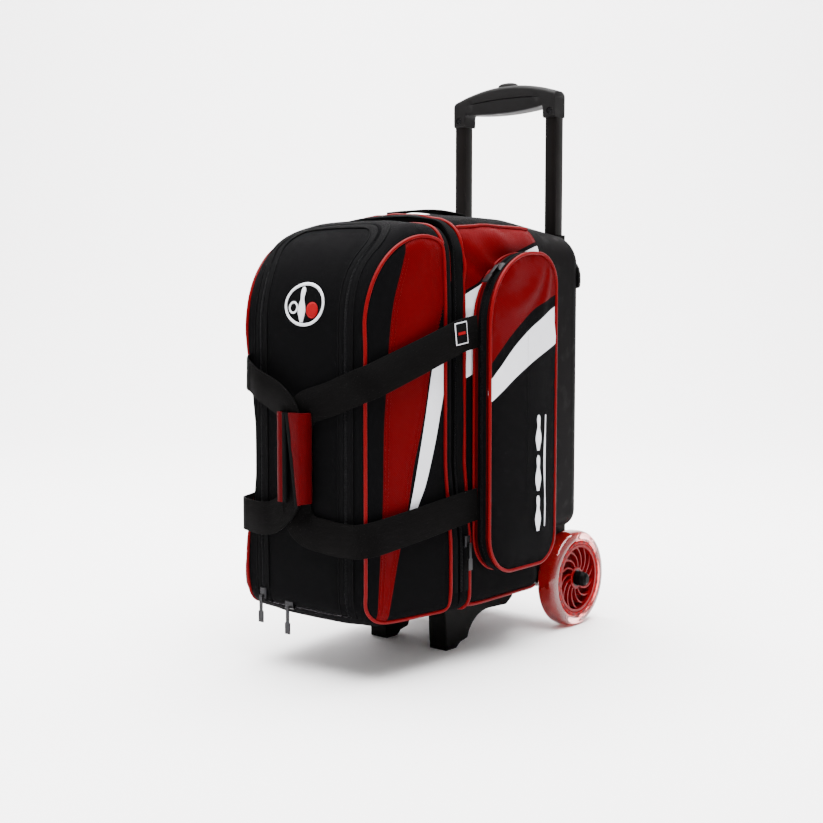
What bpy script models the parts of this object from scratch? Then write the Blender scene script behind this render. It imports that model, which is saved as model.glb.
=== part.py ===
"""Two-ball roller bowling bag, standing on its front feet and rear wheels.

Design frame: X = 0 is the bag's middle plane, with the accessory pocket at +X; Y = 0 is the wheel
axle, with the shoe compartment at -Y; Z = 0 is the ground. The empty bag_frame moves all of it so
that the world origin lies under the middle of the whole object. Sizes are in metres.
"""
import math

import bmesh
import bpy
from mathutils import Vector

# --- driving dimensions -------------------------------------------------------------------------
GAP = 0.0004                 # air between pieces that touch
CLOTH = 0.004                # padded fabric wall
HALF_WIDTH = 0.117           # half the bag's width at the ball compartment
FRONT_HALF_WIDTH = 0.0945    # half the bag's width at the front
BASE_Z = 0.066               # underside of the fabric body
SHOULDER = 0.034             # radius where the sides turn into the top
SEAM_Z = 0.518               # height where the sides meet the top
FRONT_Y = -0.400             # face of the shoe door
LID_Y = -0.2645              # back edge of the lid
SHELL_FRONT_Y = -0.2615      # front edge of the ball compartment
SHELL_BACK_Y = -0.100        # back edge of the fabric sides
BACK_Y = 0.013               # outer face of the moulded back
TRAY_BASE_Z = 0.133          # underside of the moulded back, above the wheels

WHEEL_RADIUS = 0.0635
WHEEL_IN_X = 0.0905          # inner face of a wheel
WHEEL_OUT_X = 0.119          # outer face of a wheel
HUB_RADIUS = 0.0455
AXLE_RADIUS = 0.004
AXLE_CAP_X = 0.131           # outer end of the axle caps

MAST_X = 0.0743              # half the distance between the handle tubes
MAST_Y = -0.003
MAST_TOP_Z = 0.518           # where the tubes leave the bag
INNER_TUBE = 0.016           # side of the sliding square tube
OUTER_TUBE = 0.0195          # side of the fixed square tube
TUBE_WALL = 0.0012
CAP_Z = 0.672                # underside of the grip's ends
GRIP_Z = 0.688               # underside of the grip where it meets its end blocks
GRIP_TOP_Z = 0.7205
INNER_TUBE_LENGTH = 0.452

POCKET_FACE_X = 0.142
POCKET_FRONT_Y = -0.236
POCKET_BACK_Y = -0.098
POCKET_LOW_Z = 0.108
POCKET_TOP_Z = 0.488

DOOR_HALF_WIDTH = 0.066
DOOR_SHOULDER = 0.0745       # half width where the shoe door turns over the top
DOOR_LOW_Z = 0.078
DOOR_TOP_Y = -0.330          # how far back the shoe door reaches over the top

STRAP_WIDTH = 0.038
STRAP_THICK = 0.0022
WRAP_FRONT_Y = -0.424        # face of the padded wrap round the carry straps
PIPING_RADIUS = 0.0021

BALL_RADIUS = 0.108
BALL_Y = -0.190
LOWER_BALL_Z = 0.186
UPPER_BALL_Z = 0.412

CENTRE_X = (POCKET_FACE_X - AXLE_CAP_X) / 2
CENTRE_Y = (WHEEL_RADIUS + WRAP_FRONT_Y) / 2


# --- scene and materials ------------------------------------------------------------------------
def clear_scene():
    for ob in list(bpy.data.objects):
        bpy.data.objects.remove(ob, do_unlink=True)


def make_material(name, colour, roughness, metallic=0.0):
    mat = bpy.data.materials.new(name)
    mat.use_nodes = True
    shader = mat.node_tree.nodes["Principled BSDF"]
    shader.inputs["Base Color"].default_value = (*colour, 1.0)
    shader.inputs["Roughness"].default_value = roughness
    shader.inputs["Metallic"].default_value = metallic
    mat.diffuse_color = (*colour, 1.0)
    return mat


clear_scene()
FRAME = bpy.data.objects.new("bag_frame", None)
FRAME.location = (-CENTRE_X, -CENTRE_Y, 0.0)
bpy.context.collection.objects.link(FRAME)

BLACK_CLOTH = make_material("black_polyester", (0.012, 0.012, 0.014), 0.85)
RED_CLOTH = make_material("red_satin", (0.45, 0.008, 0.014), 0.55)
WEBBING = make_material("black_webbing", (0.014, 0.014, 0.015), 0.8)
RED_PIPING = make_material("red_piping", (0.50, 0.010, 0.015), 0.3)
ZIP_TAPE = make_material("zip_tape", (0.010, 0.010, 0.011), 0.6)
ZIP_METAL = make_material("zip_metal", (0.10, 0.10, 0.11), 0.35, 1.0)
BLACK_PLASTIC = make_material("black_plastic", (0.020, 0.020, 0.021), 0.45)
BACK_PLASTIC = make_material("moulded_back", (0.014, 0.014, 0.016), 0.6)
STIFF_BOARD = make_material("polyethylene_board", (0.05, 0.05, 0.05), 0.6)
FOAM = make_material("cradle_foam", (0.04, 0.04, 0.045), 0.95)
DARK_TUBE = make_material("anodised_tube", (0.03, 0.03, 0.032), 0.35, 1.0)
STEEL = make_material("steel", (0.55, 0.55, 0.56), 0.3, 1.0)
RED_HUB = make_material("red_hub", (0.55, 0.015, 0.02), 0.3)
CLEAR_TYRE = make_material("clear_urethane", (0.75, 0.35, 0.35), 0.15)


# --- mesh helpers -------------------------------------------------------------------------------
def add_object(name, bm, mat, pivot=(0.0, 0.0, 0.0), sharp_deg=35.0):
    """Turn a mesh built in the design frame into an object whose origin is its pivot."""
    bmesh.ops.recalc_face_normals(bm, faces=bm.faces)
    bmesh.ops.translate(bm, verts=bm.verts, vec=-Vector(pivot))
    mesh = bpy.data.meshes.new(name)
    bm.to_mesh(mesh)
    bm.free()
    mesh.materials.append(mat)
    mesh.shade_smooth()
    mesh.set_sharp_from_angle(angle=math.radians(sharp_deg))
    ob = bpy.data.objects.new(name, mesh)
    ob.location = pivot
    ob.parent = FRAME
    bpy.context.collection.objects.link(ob)
    return ob


def add_cutter(name, bm):
    """A solid that only cuts others."""
    cutter = add_object(name, bm, BLACK_PLASTIC)
    cutter.hide_render = True
    cutter.display_type = "WIRE"
    return cutter


def cut(ob, cutter, operation="DIFFERENCE"):
    modifier = ob.modifiers.new(operation.lower(), "BOOLEAN")
    modifier.operation = operation
    modifier.object = cutter
    modifier.solver = "EXACT"


def bevel(ob, width, segments=2, angle_deg=40.0):
    modifier = ob.modifiers.new("bevel", "BEVEL")
    modifier.width = width
    modifier.segments = segments
    modifier.limit_method = "ANGLE"
    modifier.angle_limit = math.radians(angle_deg)


def bridge(bm, ring_a, ring_b):
    count = len(ring_a)
    for i in range(count):
        j = (i + 1) % count
        bm.faces.new((ring_a[i], ring_a[j], ring_b[j], ring_b[i]))


def loft(rings, closed=False):
    """A solid through rings of points; closed joins the last ring to the first."""
    bm = bmesh.new()
    verts = [[bm.verts.new(p) for p in ring] for ring in rings]
    for ring_a, ring_b in zip(verts, verts[1:]):
        bridge(bm, ring_a, ring_b)
    if closed:
        bridge(bm, verts[-1], verts[0])
    else:
        bm.faces.new(verts[0])
        bm.faces.new(verts[-1])
    return bm


def box(low, high):
    (x0, y0, z0), (x1, y1, z1) = low, high
    return loft([[(x0, y0, z), (x1, y0, z), (x1, y1, z), (x0, y1, z)] for z in (z0, z1)])


def arc(centre_u, centre_v, radius_u, radius_v, start_deg, sweep_deg, steps):
    for i in range(steps + 1):
        angle = math.radians(start_deg + sweep_deg * i / steps)
        yield centre_u + radius_u * math.cos(angle), centre_v + radius_v * math.sin(angle)


def rounded_outline(u0, v0, u1, v1, radii, steps=5):
    """Rectangle with one radius per corner: low right, top right, top left, low left."""
    low_right, top_right, top_left, low_left = radii
    points = []
    points += arc(u1 - low_right, v0 + low_right, low_right, low_right, -90, 90, steps)
    points += arc(u1 - top_right, v1 - top_right, top_right, top_right, 0, 90, steps)
    points += arc(u0 + top_left, v1 - top_left, top_left, top_left, 90, 90, steps)
    points += arc(u0 + low_left, v0 + low_left, low_left, low_left, 180, 90, steps)
    return points


def tube_outline(x, y, side, radius):
    half = side / 2
    return rounded_outline(x - half, y - half, x + half, y + half, (radius,) * 4, 2)


def hollow_tube(x, y, z0, z1, side, wall):
    """A square tube standing on end, open at both ends."""
    outer = tube_outline(x, y, side, 0.0012)
    inner = tube_outline(x, y, side - 2 * wall, 0.0018)
    rings = [[(px, py, z0) for px, py in outer], [(px, py, z1) for px, py in outer],
             [(px, py, z1) for px, py in inner], [(px, py, z0) for px, py in inner]]
    return loft(rings, closed=True)


def turned_x(profile, y, z, segments=32):
    """A closed profile of (x, radius) points turned about a line along X."""
    rings = []
    for i in range(segments):
        angle = 2 * math.pi * i / segments
        rings.append([(px, y + r * math.cos(angle), z + r * math.sin(angle)) for px, r in profile])
    return loft(rings, closed=True)


def rod_x(x0, x1, y, z, radius, segments=16):
    rings = [[(x, y + u, z + v) for u, v in arc(0, 0, radius, radius, 0, 360, segments)][:-1]
             for x in (x0, x1)]
    return loft(rings)


def rod_z(x, y, z0, z1, radius, segments=12):
    rings = [[(x + u, y + v, z) for u, v in arc(0, 0, radius, radius, 0, 360, segments)][:-1]
             for z in (z0, z1)]
    return loft(rings)


def piping(points, radius=PIPING_RADIUS, sides=6):
    """A round cord swept along a closed run of points."""
    count = len(points)
    rings = []
    for i, point in enumerate(points):
        here = Vector(point)
        along = (Vector(points[(i + 1) % count]) - Vector(points[i - 1])).normalized()
        across = Vector((1, 0, 0)) if abs(along.x) < 0.8 else Vector((0, 0, 1))
        side = along.cross(across).normalized()
        up = side.cross(along).normalized()
        rings.append([here + radius * (math.cos(2 * math.pi * k / sides) * side
                                       + math.sin(2 * math.pi * k / sides) * up)
                      for k in range(sides)])
    return loft(rings, closed=True)


def ribbon(stations, width, thick):
    """A flat band through (centre, width direction, outward direction) stations."""
    rings = []
    for centre, across, outward in stations:
        c, w, o = Vector(centre), Vector(across).normalized(), Vector(outward).normalized()
        rings.append([c - w * width / 2, c + w * width / 2,
                      c + w * width / 2 + o * thick, c - w * width / 2 + o * thick])
    return loft(rings)


# --- fabric body --------------------------------------------------------------------------------
def section(y, half_width, low_z, top_z, low_radius, top_radius, crown):
    """The bag's cross-section at depth y: a rounded rectangle with a crowned top."""
    points = []
    points += arc(half_width - low_radius, low_z + low_radius, low_radius, low_radius, -90, 90, 4)
    points += arc(half_width - top_radius, top_z - top_radius, top_radius, top_radius, 0, 90, 6)
    inner = half_width - top_radius
    points += [(inner * (1 - 2 * i / 6), top_z) for i in range(1, 6)]
    points += arc(top_radius - half_width, top_z - top_radius, top_radius, top_radius, 90, 90, 6)
    points += arc(low_radius - half_width, low_z + low_radius, low_radius, low_radius, 180, 90, 4)
    height = top_z - low_z
    return [(x, y, z + crown * (1 - (x / half_width) ** 2) * (z - low_z) / height)
            for x, z in points]


def wall_solid(outer, inner, closed_end=False):
    """The wall between two nested lofts, open at the first ring and, unless closed, at the last."""
    if closed_end:
        return loft(outer[::-1] + inner)
    return loft(outer + inner[::-1], closed=True)


LID_PIVOT = (0.0, LID_Y, BASE_Z + 0.0004)
LID_ARC_DEPTH = 0.100        # depth of the rounding from the top down to the front
LID_ARC_HEIGHT = 0.112
LID_LOW_RADIUS = 0.028
LID_ARC_STEPS = 9
LID_SEAM_DEPTH = 0.013       # from the lid's back edge to its corded seam


def lid_sections(inset, back_y):
    """Cross-sections of the lid from its back edge to its front, moved in by inset."""
    rings = []
    arc_start_y = FRONT_Y + LID_ARC_DEPTH
    depths = [back_y, (back_y + arc_start_y) / 2]
    depths += [arc_start_y - LID_ARC_DEPTH * math.sin(math.radians(90 * i / LID_ARC_STEPS))
               for i in range(LID_ARC_STEPS + 1)]
    for y in depths:
        fall = min(max((arc_start_y - y) / LID_ARC_DEPTH, 0.0), 1.0)
        drop = LID_ARC_HEIGHT * (1 - math.sqrt(max(1 - fall * fall, 0.0)))
        low_start_y = FRONT_Y + LID_LOW_RADIUS
        low_fall = min(max((low_start_y - y) / LID_LOW_RADIUS, 0.0), 1.0)
        rise = LID_LOW_RADIUS * (1 - math.sqrt(max(1 - low_fall * low_fall, 0.0)))
        taper = min(max((LID_Y - y) / (LID_Y - FRONT_Y), 0.0), 1.0)
        half_width = HALF_WIDTH + (FRONT_HALF_WIDTH - HALF_WIDTH) * taper - inset
        top_radius = SHOULDER - 0.022 * taper
        shift = inset * (0.5 + 0.5 * fall)
        rings.append(section(y + shift, half_width, BASE_Z + 0.001 + rise + inset,
                             SEAM_Z - 0.004 - drop - inset, 0.014, top_radius, 0.006))
    return rings


def make_lid():
    outer = lid_sections(0.0, LID_Y)
    inner = lid_sections(CLOTH, LID_Y - CLOTH / 2)
    lid = add_object("lid_shell", wall_solid(outer, inner, closed_end=True), BLACK_CLOTH, LID_PIVOT)
    door_pivot = (0.0, FRONT_Y - 0.0005, DOOR_LOW_Z)
    door = add_object("shoe_door", wall_solid(lid_sections(0.0, LID_Y),
                                              lid_sections(CLOTH, LID_Y - CLOTH / 2),
                                              closed_end=True), BLACK_CLOTH, door_pivot)
    cut(lid, add_cutter("door_opening_cutter", door_block(0.0012)))
    cut(door, add_cutter("door_panel_cutter", door_block(0.0)), "INTERSECT")
    divider = loft([section(y, 0.1045, BASE_Z + 0.0075, SEAM_Z - 0.0135, 0.012, 0.026, 0.004)
                    for y in (-0.3045, -0.3015)])
    add_object("lid_divider", divider, STIFF_BOARD, LID_PIVOT)
    for side, sign in (("left", -1), ("right", 1)):
        loop = [(sign * x, y, z) for x, y, z in lid_piping_run(outer)]
        add_object("lid_piping_" + side, piping(loop), RED_PIPING, LID_PIVOT)


def lid_piping_run(rings):
    """The corded seam round one side panel of the lid, just clear of its surface."""
    stand = PIPING_RADIUS + 0.0016
    top_mid, low_mid = 8, 2
    top = [(r[top_mid][0] + 0.7 * stand, r[top_mid][1] - 0.4 * stand, r[top_mid][2] + 0.7 * stand)
           for r in rings[1:]]
    low = [(r[low_mid][0] + 0.7 * stand, r[low_mid][1] - 0.4 * stand, r[low_mid][2] - 0.7 * stand)
           for r in rings[1:]]
    front_x, front_y = FRONT_HALF_WIDTH + 0.8 * stand, FRONT_Y - 0.8 * stand
    top[-1] = (front_x, front_y, top[-1][2] - 0.008)
    low[-1] = (front_x, front_y, low[-1][2] + 0.008)
    front = [(front_x, front_y, top[-1][2] + (low[-1][2] - top[-1][2]) * i / 6)
             for i in range(1, 6)]
    back_x, back_y = HALF_WIDTH + 0.5 * stand, LID_Y - LID_SEAM_DEPTH
    back = [(back_x, back_y, low[0][2] + 0.010 + (top[0][2] - low[0][2] - 0.044) * i / 6)
            for i in range(7)]
    turn, reach = math.radians(24), SHOULDER + stand
    corner = (HALF_WIDTH - SHOULDER + reach * math.cos(turn), back_y,
              SEAM_Z - 0.002 - SHOULDER + reach * math.sin(turn))
    return top + front + low[::-1] + back + [corner]


def door_block(grow):
    """The block that bounds the shoe door, with rounded upper corners."""
    low, corner = DOOR_HALF_WIDTH + grow, 0.034 + grow
    right = [(low, FRONT_Y - 0.05), (low, FRONT_Y + 0.015)]
    right += arc(DOOR_SHOULDER + grow - corner, DOOR_TOP_Y + grow - corner, corner, corner, 0, 90, 6)
    outline = right + [(-x, y) for x, y in right[::-1]]
    return loft([[(x, y, z) for x, y in outline] for z in (DOOR_LOW_Z - grow, SEAM_Z + 0.06)])


REAR_PIPING_Y = SHELL_FRONT_Y + 0.0175


def shell_sections(inset):
    profile = ((SHELL_FRONT_Y, 0.002, 0.010), (SHELL_FRONT_Y + 0.022, 0.004, 0.012),
               (-0.180, 0.002, 0.016), (SHELL_BACK_Y, 0.0, 0.019))
    return [section(y, HALF_WIDTH - inset, BASE_Z + inset, SEAM_Z + rise - inset, 0.018,
                    SHOULDER - inset, crown) for y, rise, crown in profile]


def make_rear_shell():
    bm = wall_solid(shell_sections(0.0), shell_sections(CLOTH))
    add_object("rear_shell", bm, BLACK_CLOTH)
    y, stand = REAR_PIPING_Y, PIPING_RADIUS + GAP + 0.0003
    outline = section(y, HALF_WIDTH + stand, BASE_Z - stand, SEAM_Z + 0.004 + stand, 0.018 + stand,
                      SHOULDER + stand, 0.012)
    add_object("rear_piping", piping(outline), RED_PIPING)


def tray_sections(inset, front_y):
    """Cross-sections of the moulded back from its open front to its closed back."""
    corner = 0.028
    depths = [(front_y, 0.0), (BACK_Y - corner - 0.03, 0.0)]
    depths += [(BACK_Y - corner + corner * math.sin(math.radians(a)),
                corner * (1 - math.cos(math.radians(a)))) for a in (0, 22, 42, 60, 75, 90)]
    rings = []
    for y, pull_in in depths:
        back = (y - SHELL_BACK_Y) / (BACK_Y - SHELL_BACK_Y)
        edge = 0.75 * pull_in
        rings.append(section(y - inset * max(back, 0.0), HALF_WIDTH - 0.004 * back - pull_in - inset,
                             TRAY_BASE_Z + 0.2 * pull_in + inset, SEAM_Z - 0.003 * back - edge - inset,
                             0.022, SHOULDER, 0.019 * (1 - back)))
    return rings


def make_back():
    front_y = SHELL_BACK_Y + GAP
    bm = wall_solid(tray_sections(0.0, front_y), tray_sections(0.003, front_y), closed_end=True)
    tray = add_object("back_tray", bm, BACK_PLASTIC)
    for x in (-MAST_X, MAST_X):
        hole = box((x - 0.0131, MAST_Y - 0.0124, TRAY_BASE_Z - 0.01),
                   (x + 0.0131, MAST_Y + 0.0124, SEAM_Z + 0.05))
        cut(tray, add_cutter("mast_hole_cutter", hole))
    board = loft([section(y, 0.110, TRAY_BASE_Z + 0.005, SEAM_Z - 0.010, 0.018, 0.030, 0.015)
                  for y in (-0.0775, -0.0745)])
    add_object("back_board", board, STIFF_BOARD)
    base = box((-0.093, SHELL_FRONT_Y + 0.006, BASE_Z + CLOTH + GAP),
               (0.093, SHELL_BACK_Y + 0.001, BASE_Z + CLOTH + 0.0034))
    bevel(add_object("base_board", base, STIFF_BOARD), 0.0008, 1)


# --- ball cradles -------------------------------------------------------------------------------
def ball(z, segments=28):
    bm = bmesh.new()
    bmesh.ops.create_uvsphere(bm, u_segments=segments, v_segments=segments // 2,
                              radius=BALL_RADIUS + 0.002)
    bmesh.ops.translate(bm, verts=bm.verts, vec=(0.0, BALL_Y, z))
    return bm


def make_cradles():
    lower_ball = add_cutter("lower_ball_cutter", ball(LOWER_BALL_Z))
    upper_ball = add_cutter("upper_ball_cutter", ball(UPPER_BALL_Z))
    floor_z = BASE_Z + CLOTH + 0.0038
    lower = add_object("ball_cradle_lower",
                       box((-0.094, -0.254, floor_z), (0.094, SHELL_BACK_Y + 0.001, 0.105)),
                       FOAM)
    cut(lower, lower_ball)
    upper = add_object("ball_cradle_upper", box((-0.106, -0.254, 0.279), (0.106, -0.080, 0.319)),
                       FOAM)
    cut(upper, lower_ball)
    cut(upper, upper_ball)


# --- running gear -------------------------------------------------------------------------------
SPOKES = 7


def window_cutter(side_x):
    """Seven swept windows between the curved spokes of a hub, as one cutting mesh."""
    bm = bmesh.new()
    inner_r, outer_r, steps = 0.0155, 0.0375, 5
    for k in range(SPOKES):
        base = 2 * math.pi * k / SPOKES
        outline = []
        for i in range(steps + 1):
            radius = inner_r + (outer_r - inner_r) * i / steps
            sweep = 0.95 * i / steps
            outline.append((radius, base + sweep))
        for i in range(steps, -1, -1):
            radius = inner_r + (outer_r - inner_r) * i / steps
            sweep = 0.95 * i / steps + 2 * math.pi / SPOKES - 0.0052 / radius
            outline.append((radius, base + sweep))
        rings = [[bm.verts.new((x, r * math.cos(a), WHEEL_RADIUS + r * math.sin(a)))
                  for r, a in outline] for x in (side_x - 0.03, side_x + 0.03)]
        bridge(bm, rings[0], rings[1])
        bm.faces.new(rings[0])
        bm.faces.new(rings[1])
    return bm


def make_wheel(side, sign):
    axis = (sign * (WHEEL_IN_X + WHEEL_OUT_X) / 2, 0.0, WHEEL_RADIUS)
    mid = (WHEEL_IN_X + WHEEL_OUT_X) / 2
    half = (WHEEL_OUT_X - WHEEL_IN_X) / 2
    tread = [(mid - half + 0.003, HUB_RADIUS + GAP), (mid + half - 0.003, HUB_RADIUS + GAP),
             (mid + half, 0.050), (mid + half - 0.001, 0.056), (mid + half - 0.005, 0.0612),
             (mid + half - 0.011, WHEEL_RADIUS), (mid - half + 0.011, WHEEL_RADIUS),
             (mid - half + 0.005, 0.0612), (mid - half + 0.001, 0.056), (mid - half, 0.050)]
    profile = [(sign * x, r) for x, r in tread]
    add_object("wheel_tyre_" + side, turned_x(profile, 0.0, WHEEL_RADIUS, 36), CLEAR_TYRE, axis)
    bore = 0.0111
    hub = [(mid - 0.011, bore), (mid + 0.011, bore), (mid + 0.0125, 0.0125), (mid + 0.0115, 0.018),
           (mid + 0.006, 0.022), (mid + 0.006, 0.036), (mid + 0.012, 0.040),
           (mid + 0.012, HUB_RADIUS), (mid - 0.012, HUB_RADIUS), (mid - 0.012, 0.040),
           (mid - 0.006, 0.036), (mid - 0.006, 0.022), (mid - 0.0115, 0.018)]
    profile = [(sign * x, r) for x, r in hub]
    ob = add_object("wheel_hub_" + side, turned_x(profile, 0.0, WHEEL_RADIUS, 28), RED_HUB, axis)
    cut(ob, add_cutter("hub_window_cutter_" + side, window_cutter(sign * mid)))
    race = [(mid - 0.010, AXLE_RADIUS + GAP), (mid + 0.010, AXLE_RADIUS + GAP),
            (mid + 0.010, bore - GAP), (mid - 0.010, bore - GAP)]
    profile = [(sign * x, r) for x, r in race]
    add_object("wheel_bearing_" + side, turned_x(profile, 0.0, WHEEL_RADIUS, 24), STEEL, axis)
    cap = [(0.1162, 0.0), (0.1162, 0.0095), (0.124, 0.0095), (0.1285, 0.0080), (AXLE_CAP_X, 0.0045),
           (AXLE_CAP_X, 0.0)]
    rings = [[(sign * x, y, WHEEL_RADIUS + z) for y, z in arc(0, 0, r, r, 0, 360, 20)][:-1]
             for x, r in cap if r > 0]
    add_object("axle_cap_" + side, loft(rings), BLACK_PLASTIC)


def make_running_gear():
    axle_end = 0.1158
    add_object("wheel_axle", rod_x(-axle_end, axle_end, 0.0, WHEEL_RADIUS, AXLE_RADIUS), STEEL)
    for side, sign in (("left", -1), ("right", 1)):
        make_wheel(side, sign)
    top_z = TRAY_BASE_Z - 0.0005
    outline = [(SHELL_BACK_Y + 0.003, 0.0665), (-0.064, 0.0665), (-0.040, 0.054), (-0.012, 0.048),
               (0.008, 0.052), (BACK_Y - 0.0015, 0.066), (BACK_Y - 0.0015, top_z),
               (SHELL_BACK_Y + 0.003, top_z)]
    half = WHEEL_IN_X - 0.002
    housing = add_object("wheel_housing", loft([[(x, y, z) for y, z in outline]
                                                for x in (-half, half)]), BLACK_PLASTIC)
    bore = rod_x(-0.1, 0.1, 0.0, WHEEL_RADIUS, AXLE_RADIUS + GAP)
    cut(housing, add_cutter("axle_bore_cutter", bore))
    hollow = box((-0.0848, SHELL_BACK_Y + 0.010, 0.0735), (0.0848, BACK_Y - 0.0042, 0.2))
    cut(housing, add_cutter("housing_hollow_cutter", hollow))
    bevel(housing, 0.002, 1)


def make_feet():
    """Moulded front feet: a leg with an arched web running back to its screwed flange."""
    top_z = BASE_Z - GAP
    profile = [(-0.216, 0.0), (-0.195, 0.0), (-0.187, 0.006)]
    profile += arc(-0.130, -0.002, 0.044, 0.040, 165, -75, 5)
    profile += [(-0.088, 0.036), (-0.074, 0.044), (-0.070, top_z), (-0.222, top_z),
                (-0.2185, 0.040)]
    for side, sign in (("left", -1), ("right", 1)):
        rings = [[(sign * x, y, z) for y, z in profile] for x in (0.035, 0.062)]
        foot = add_object("front_foot_" + side, loft(rings), BLACK_PLASTIC)
        bevel(foot, 0.0015, 2)
        screw_x, screw_y = sign * 0.0485, -0.098
        hole = rod_z(screw_x, screw_y, 0.020, 0.0605, 0.0062)
        cut(foot, add_cutter("foot_screw_cutter_" + side, hole))
        screw = rod_z(screw_x, screw_y, 0.0575, 0.0600, 0.0052)
        add_object("foot_screw_" + side, screw, STEEL)


# --- telescopic handle --------------------------------------------------------------------------
def make_mast():
    foot_z = 0.0825
    for side, sign in (("left", -1), ("right", 1)):
        x = sign * MAST_X
        add_object("outer_tube_" + side,
                   hollow_tube(x, MAST_Y, foot_z + GAP, MAST_TOP_Z - 0.008, OUTER_TUBE, TUBE_WALL),
                   DARK_TUBE)
        make_cup(side, x)
        inner_top = CAP_Z + 0.016
        inner_low = inner_top - INNER_TUBE_LENGTH
        add_object("inner_tube_" + side,
                   hollow_tube(x, MAST_Y, inner_low, inner_top, INNER_TUBE, TUBE_WALL), DARK_TUBE)
        head = loft([[(x + u, y, CAP_Z + 0.0085 + v)
                      for u, v in arc(0, 0, 0.0034, 0.0034, 0, 360, 10)][:-1]
                     for y in (MAST_Y - 0.0120, MAST_Y - 0.0098)])
        add_object("grip_screw_" + side, head, STEEL)
    bracket = box((-0.0843, MAST_Y - 0.011, 0.0740), (0.0843, MAST_Y + 0.0105, foot_z))
    bevel(add_object("mast_foot_bracket", bracket, BLACK_PLASTIC), 0.001, 1)


def make_cup(side, x):
    """Collar that guides the sliding tube where it leaves the bag."""
    body = tube_outline(x, MAST_Y, 0.024, 0.004)
    rim = [(x + 1.06 * (px - x), py) for px, py in body]
    slot = tube_outline(x, MAST_Y, INNER_TUBE + 0.0012, 0.0018)
    low_z, high_z = MAST_TOP_Z - 0.0076, MAST_TOP_Z + 0.0008
    rings = [[(px, py, low_z) for px, py in rim], [(px, py, high_z) for px, py in rim],
             [(px, py, high_z) for px, py in slot], [(px, py, low_z) for px, py in slot]]
    add_object("tube_cup_" + side, loft(rings, closed=True), BLACK_PLASTIC)


GRIP_HALF_LENGTH = 0.083
GRIP_HALF_DEPTH = 0.0128
GRIP_BLOCK_X = 0.0640          # inner edge of the grip's end blocks
PARTING_Z = 0.6975
BAR_WAY_Z = (0.6965, 0.7030)  # channel for the release bar


def grip_arch(x):
    """Height of the grip's crown over the flat datum, along its length."""
    return 0.014 * (1 - (x / GRIP_HALF_LENGTH) ** 2)


def grip_section(x, low_z, high_z, half_depth):
    outline = rounded_outline(MAST_Y - half_depth, low_z, MAST_Y + half_depth, high_z,
                              (0.004, 0.006, 0.006, 0.004), 3)
    return [(x, y, z) for y, z in outline]


def make_grip():
    """Two moulded halves: the lower one carries the tube sockets, the upper one the button."""
    half_spans = [0.020, 0.040, GRIP_BLOCK_X - 0.0015, GRIP_BLOCK_X, 0.079, GRIP_HALF_LENGTH]
    spans = [-x for x in half_spans[::-1]] + [0.0] + half_spans
    rings = []
    for x in spans:
        low = GRIP_Z - 0.0045 * (1 - (x / GRIP_BLOCK_X) ** 2)
        if abs(x) >= GRIP_BLOCK_X:
            low = CAP_Z
        narrow = 0.001 if abs(x) > 0.08 else 0.0
        rings.append(grip_section(x, low, PARTING_Z + 0.4 * grip_arch(x) - GAP,
                                  GRIP_HALF_DEPTH - narrow))
    lower = add_object("grip_bottom_shell", loft(rings), BLACK_PLASTIC)
    for side, sign in (("left", -1), ("right", 1)):
        x = sign * MAST_X
        clear = INNER_TUBE / 2 + GAP
        socket = box((x - clear, MAST_Y - clear, CAP_Z - 0.01),
                     (x + clear, MAST_Y + clear, CAP_Z + 0.0165))
        cut(lower, add_cutter("socket_cutter_" + side, socket))
        rod_way = box((x - 0.0045, MAST_Y - 0.0045, CAP_Z + 0.01),
                      (x + 0.0045, MAST_Y + 0.0045, BAR_WAY_Z[1]))
        cut(lower, add_cutter("rod_way_cutter_" + side, rod_way))
        well = loft([[(x + u, y, CAP_Z + 0.0085 + v)
                      for u, v in arc(0, 0, 0.0042, 0.0042, 0, 360, 12)][:-1]
                     for y in (MAST_Y - 0.03, MAST_Y - 0.0095)])
        cut(lower, add_cutter("screw_well_cutter_" + side, well))
    rings = []
    for x in spans:
        narrow = 0.001 if abs(x) > 0.08 else 0.0
        rings.append(grip_section(x, PARTING_Z + 0.4 * grip_arch(x) + GAP,
                                  GRIP_TOP_Z - 0.014 + grip_arch(x) - narrow,
                                  GRIP_HALF_DEPTH - narrow))
    upper = add_object("grip_top_shell", loft(rings), BLACK_PLASTIC)
    bar_way = add_cutter("bar_way_cutter", box((-0.079, MAST_Y - 0.0048, BAR_WAY_Z[0]),
                                               (0.079, MAST_Y + 0.0048, BAR_WAY_Z[1])))
    button_way = add_cutter("button_way_cutter", box((-0.0152, MAST_Y - 0.0087, BAR_WAY_Z[0]),
                                                     (0.0152, MAST_Y + 0.0087, 0.75)))
    for half in (lower, upper):
        cut(half, bar_way)
        cut(half, button_way)


def make_release():
    """The thumb button with its crossbar, and a rod down each sliding tube to the locks."""
    top_z = GRIP_TOP_Z + 0.0045
    outline = rounded_outline(-0.0145, MAST_Y - 0.008, 0.0145, MAST_Y + 0.008, (0.004,) * 4, 3)
    button = [[(x, y, z) for x, y in outline] for z in (0.7026, top_z - 0.0015)]
    button.append([(0.86 * x, MAST_Y + 0.86 * (y - MAST_Y), top_z) for x, y in outline])
    pivot = (0.0, MAST_Y, top_z)
    add_object("release_button", loft(button), BLACK_PLASTIC, pivot)
    for side, sign in (("left", -1), ("right", 1)):
        rod = rod_z(sign * MAST_X, MAST_Y, 0.2500, 0.6994, 0.0025)
        add_object("lock_rod_" + side, rod, STEEL, pivot)
    bar = box((-0.0775, MAST_Y - 0.0035, 0.6998), (0.0775, MAST_Y + 0.0035, 0.7022))
    add_object("release_bar", bar, STEEL, pivot)


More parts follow.
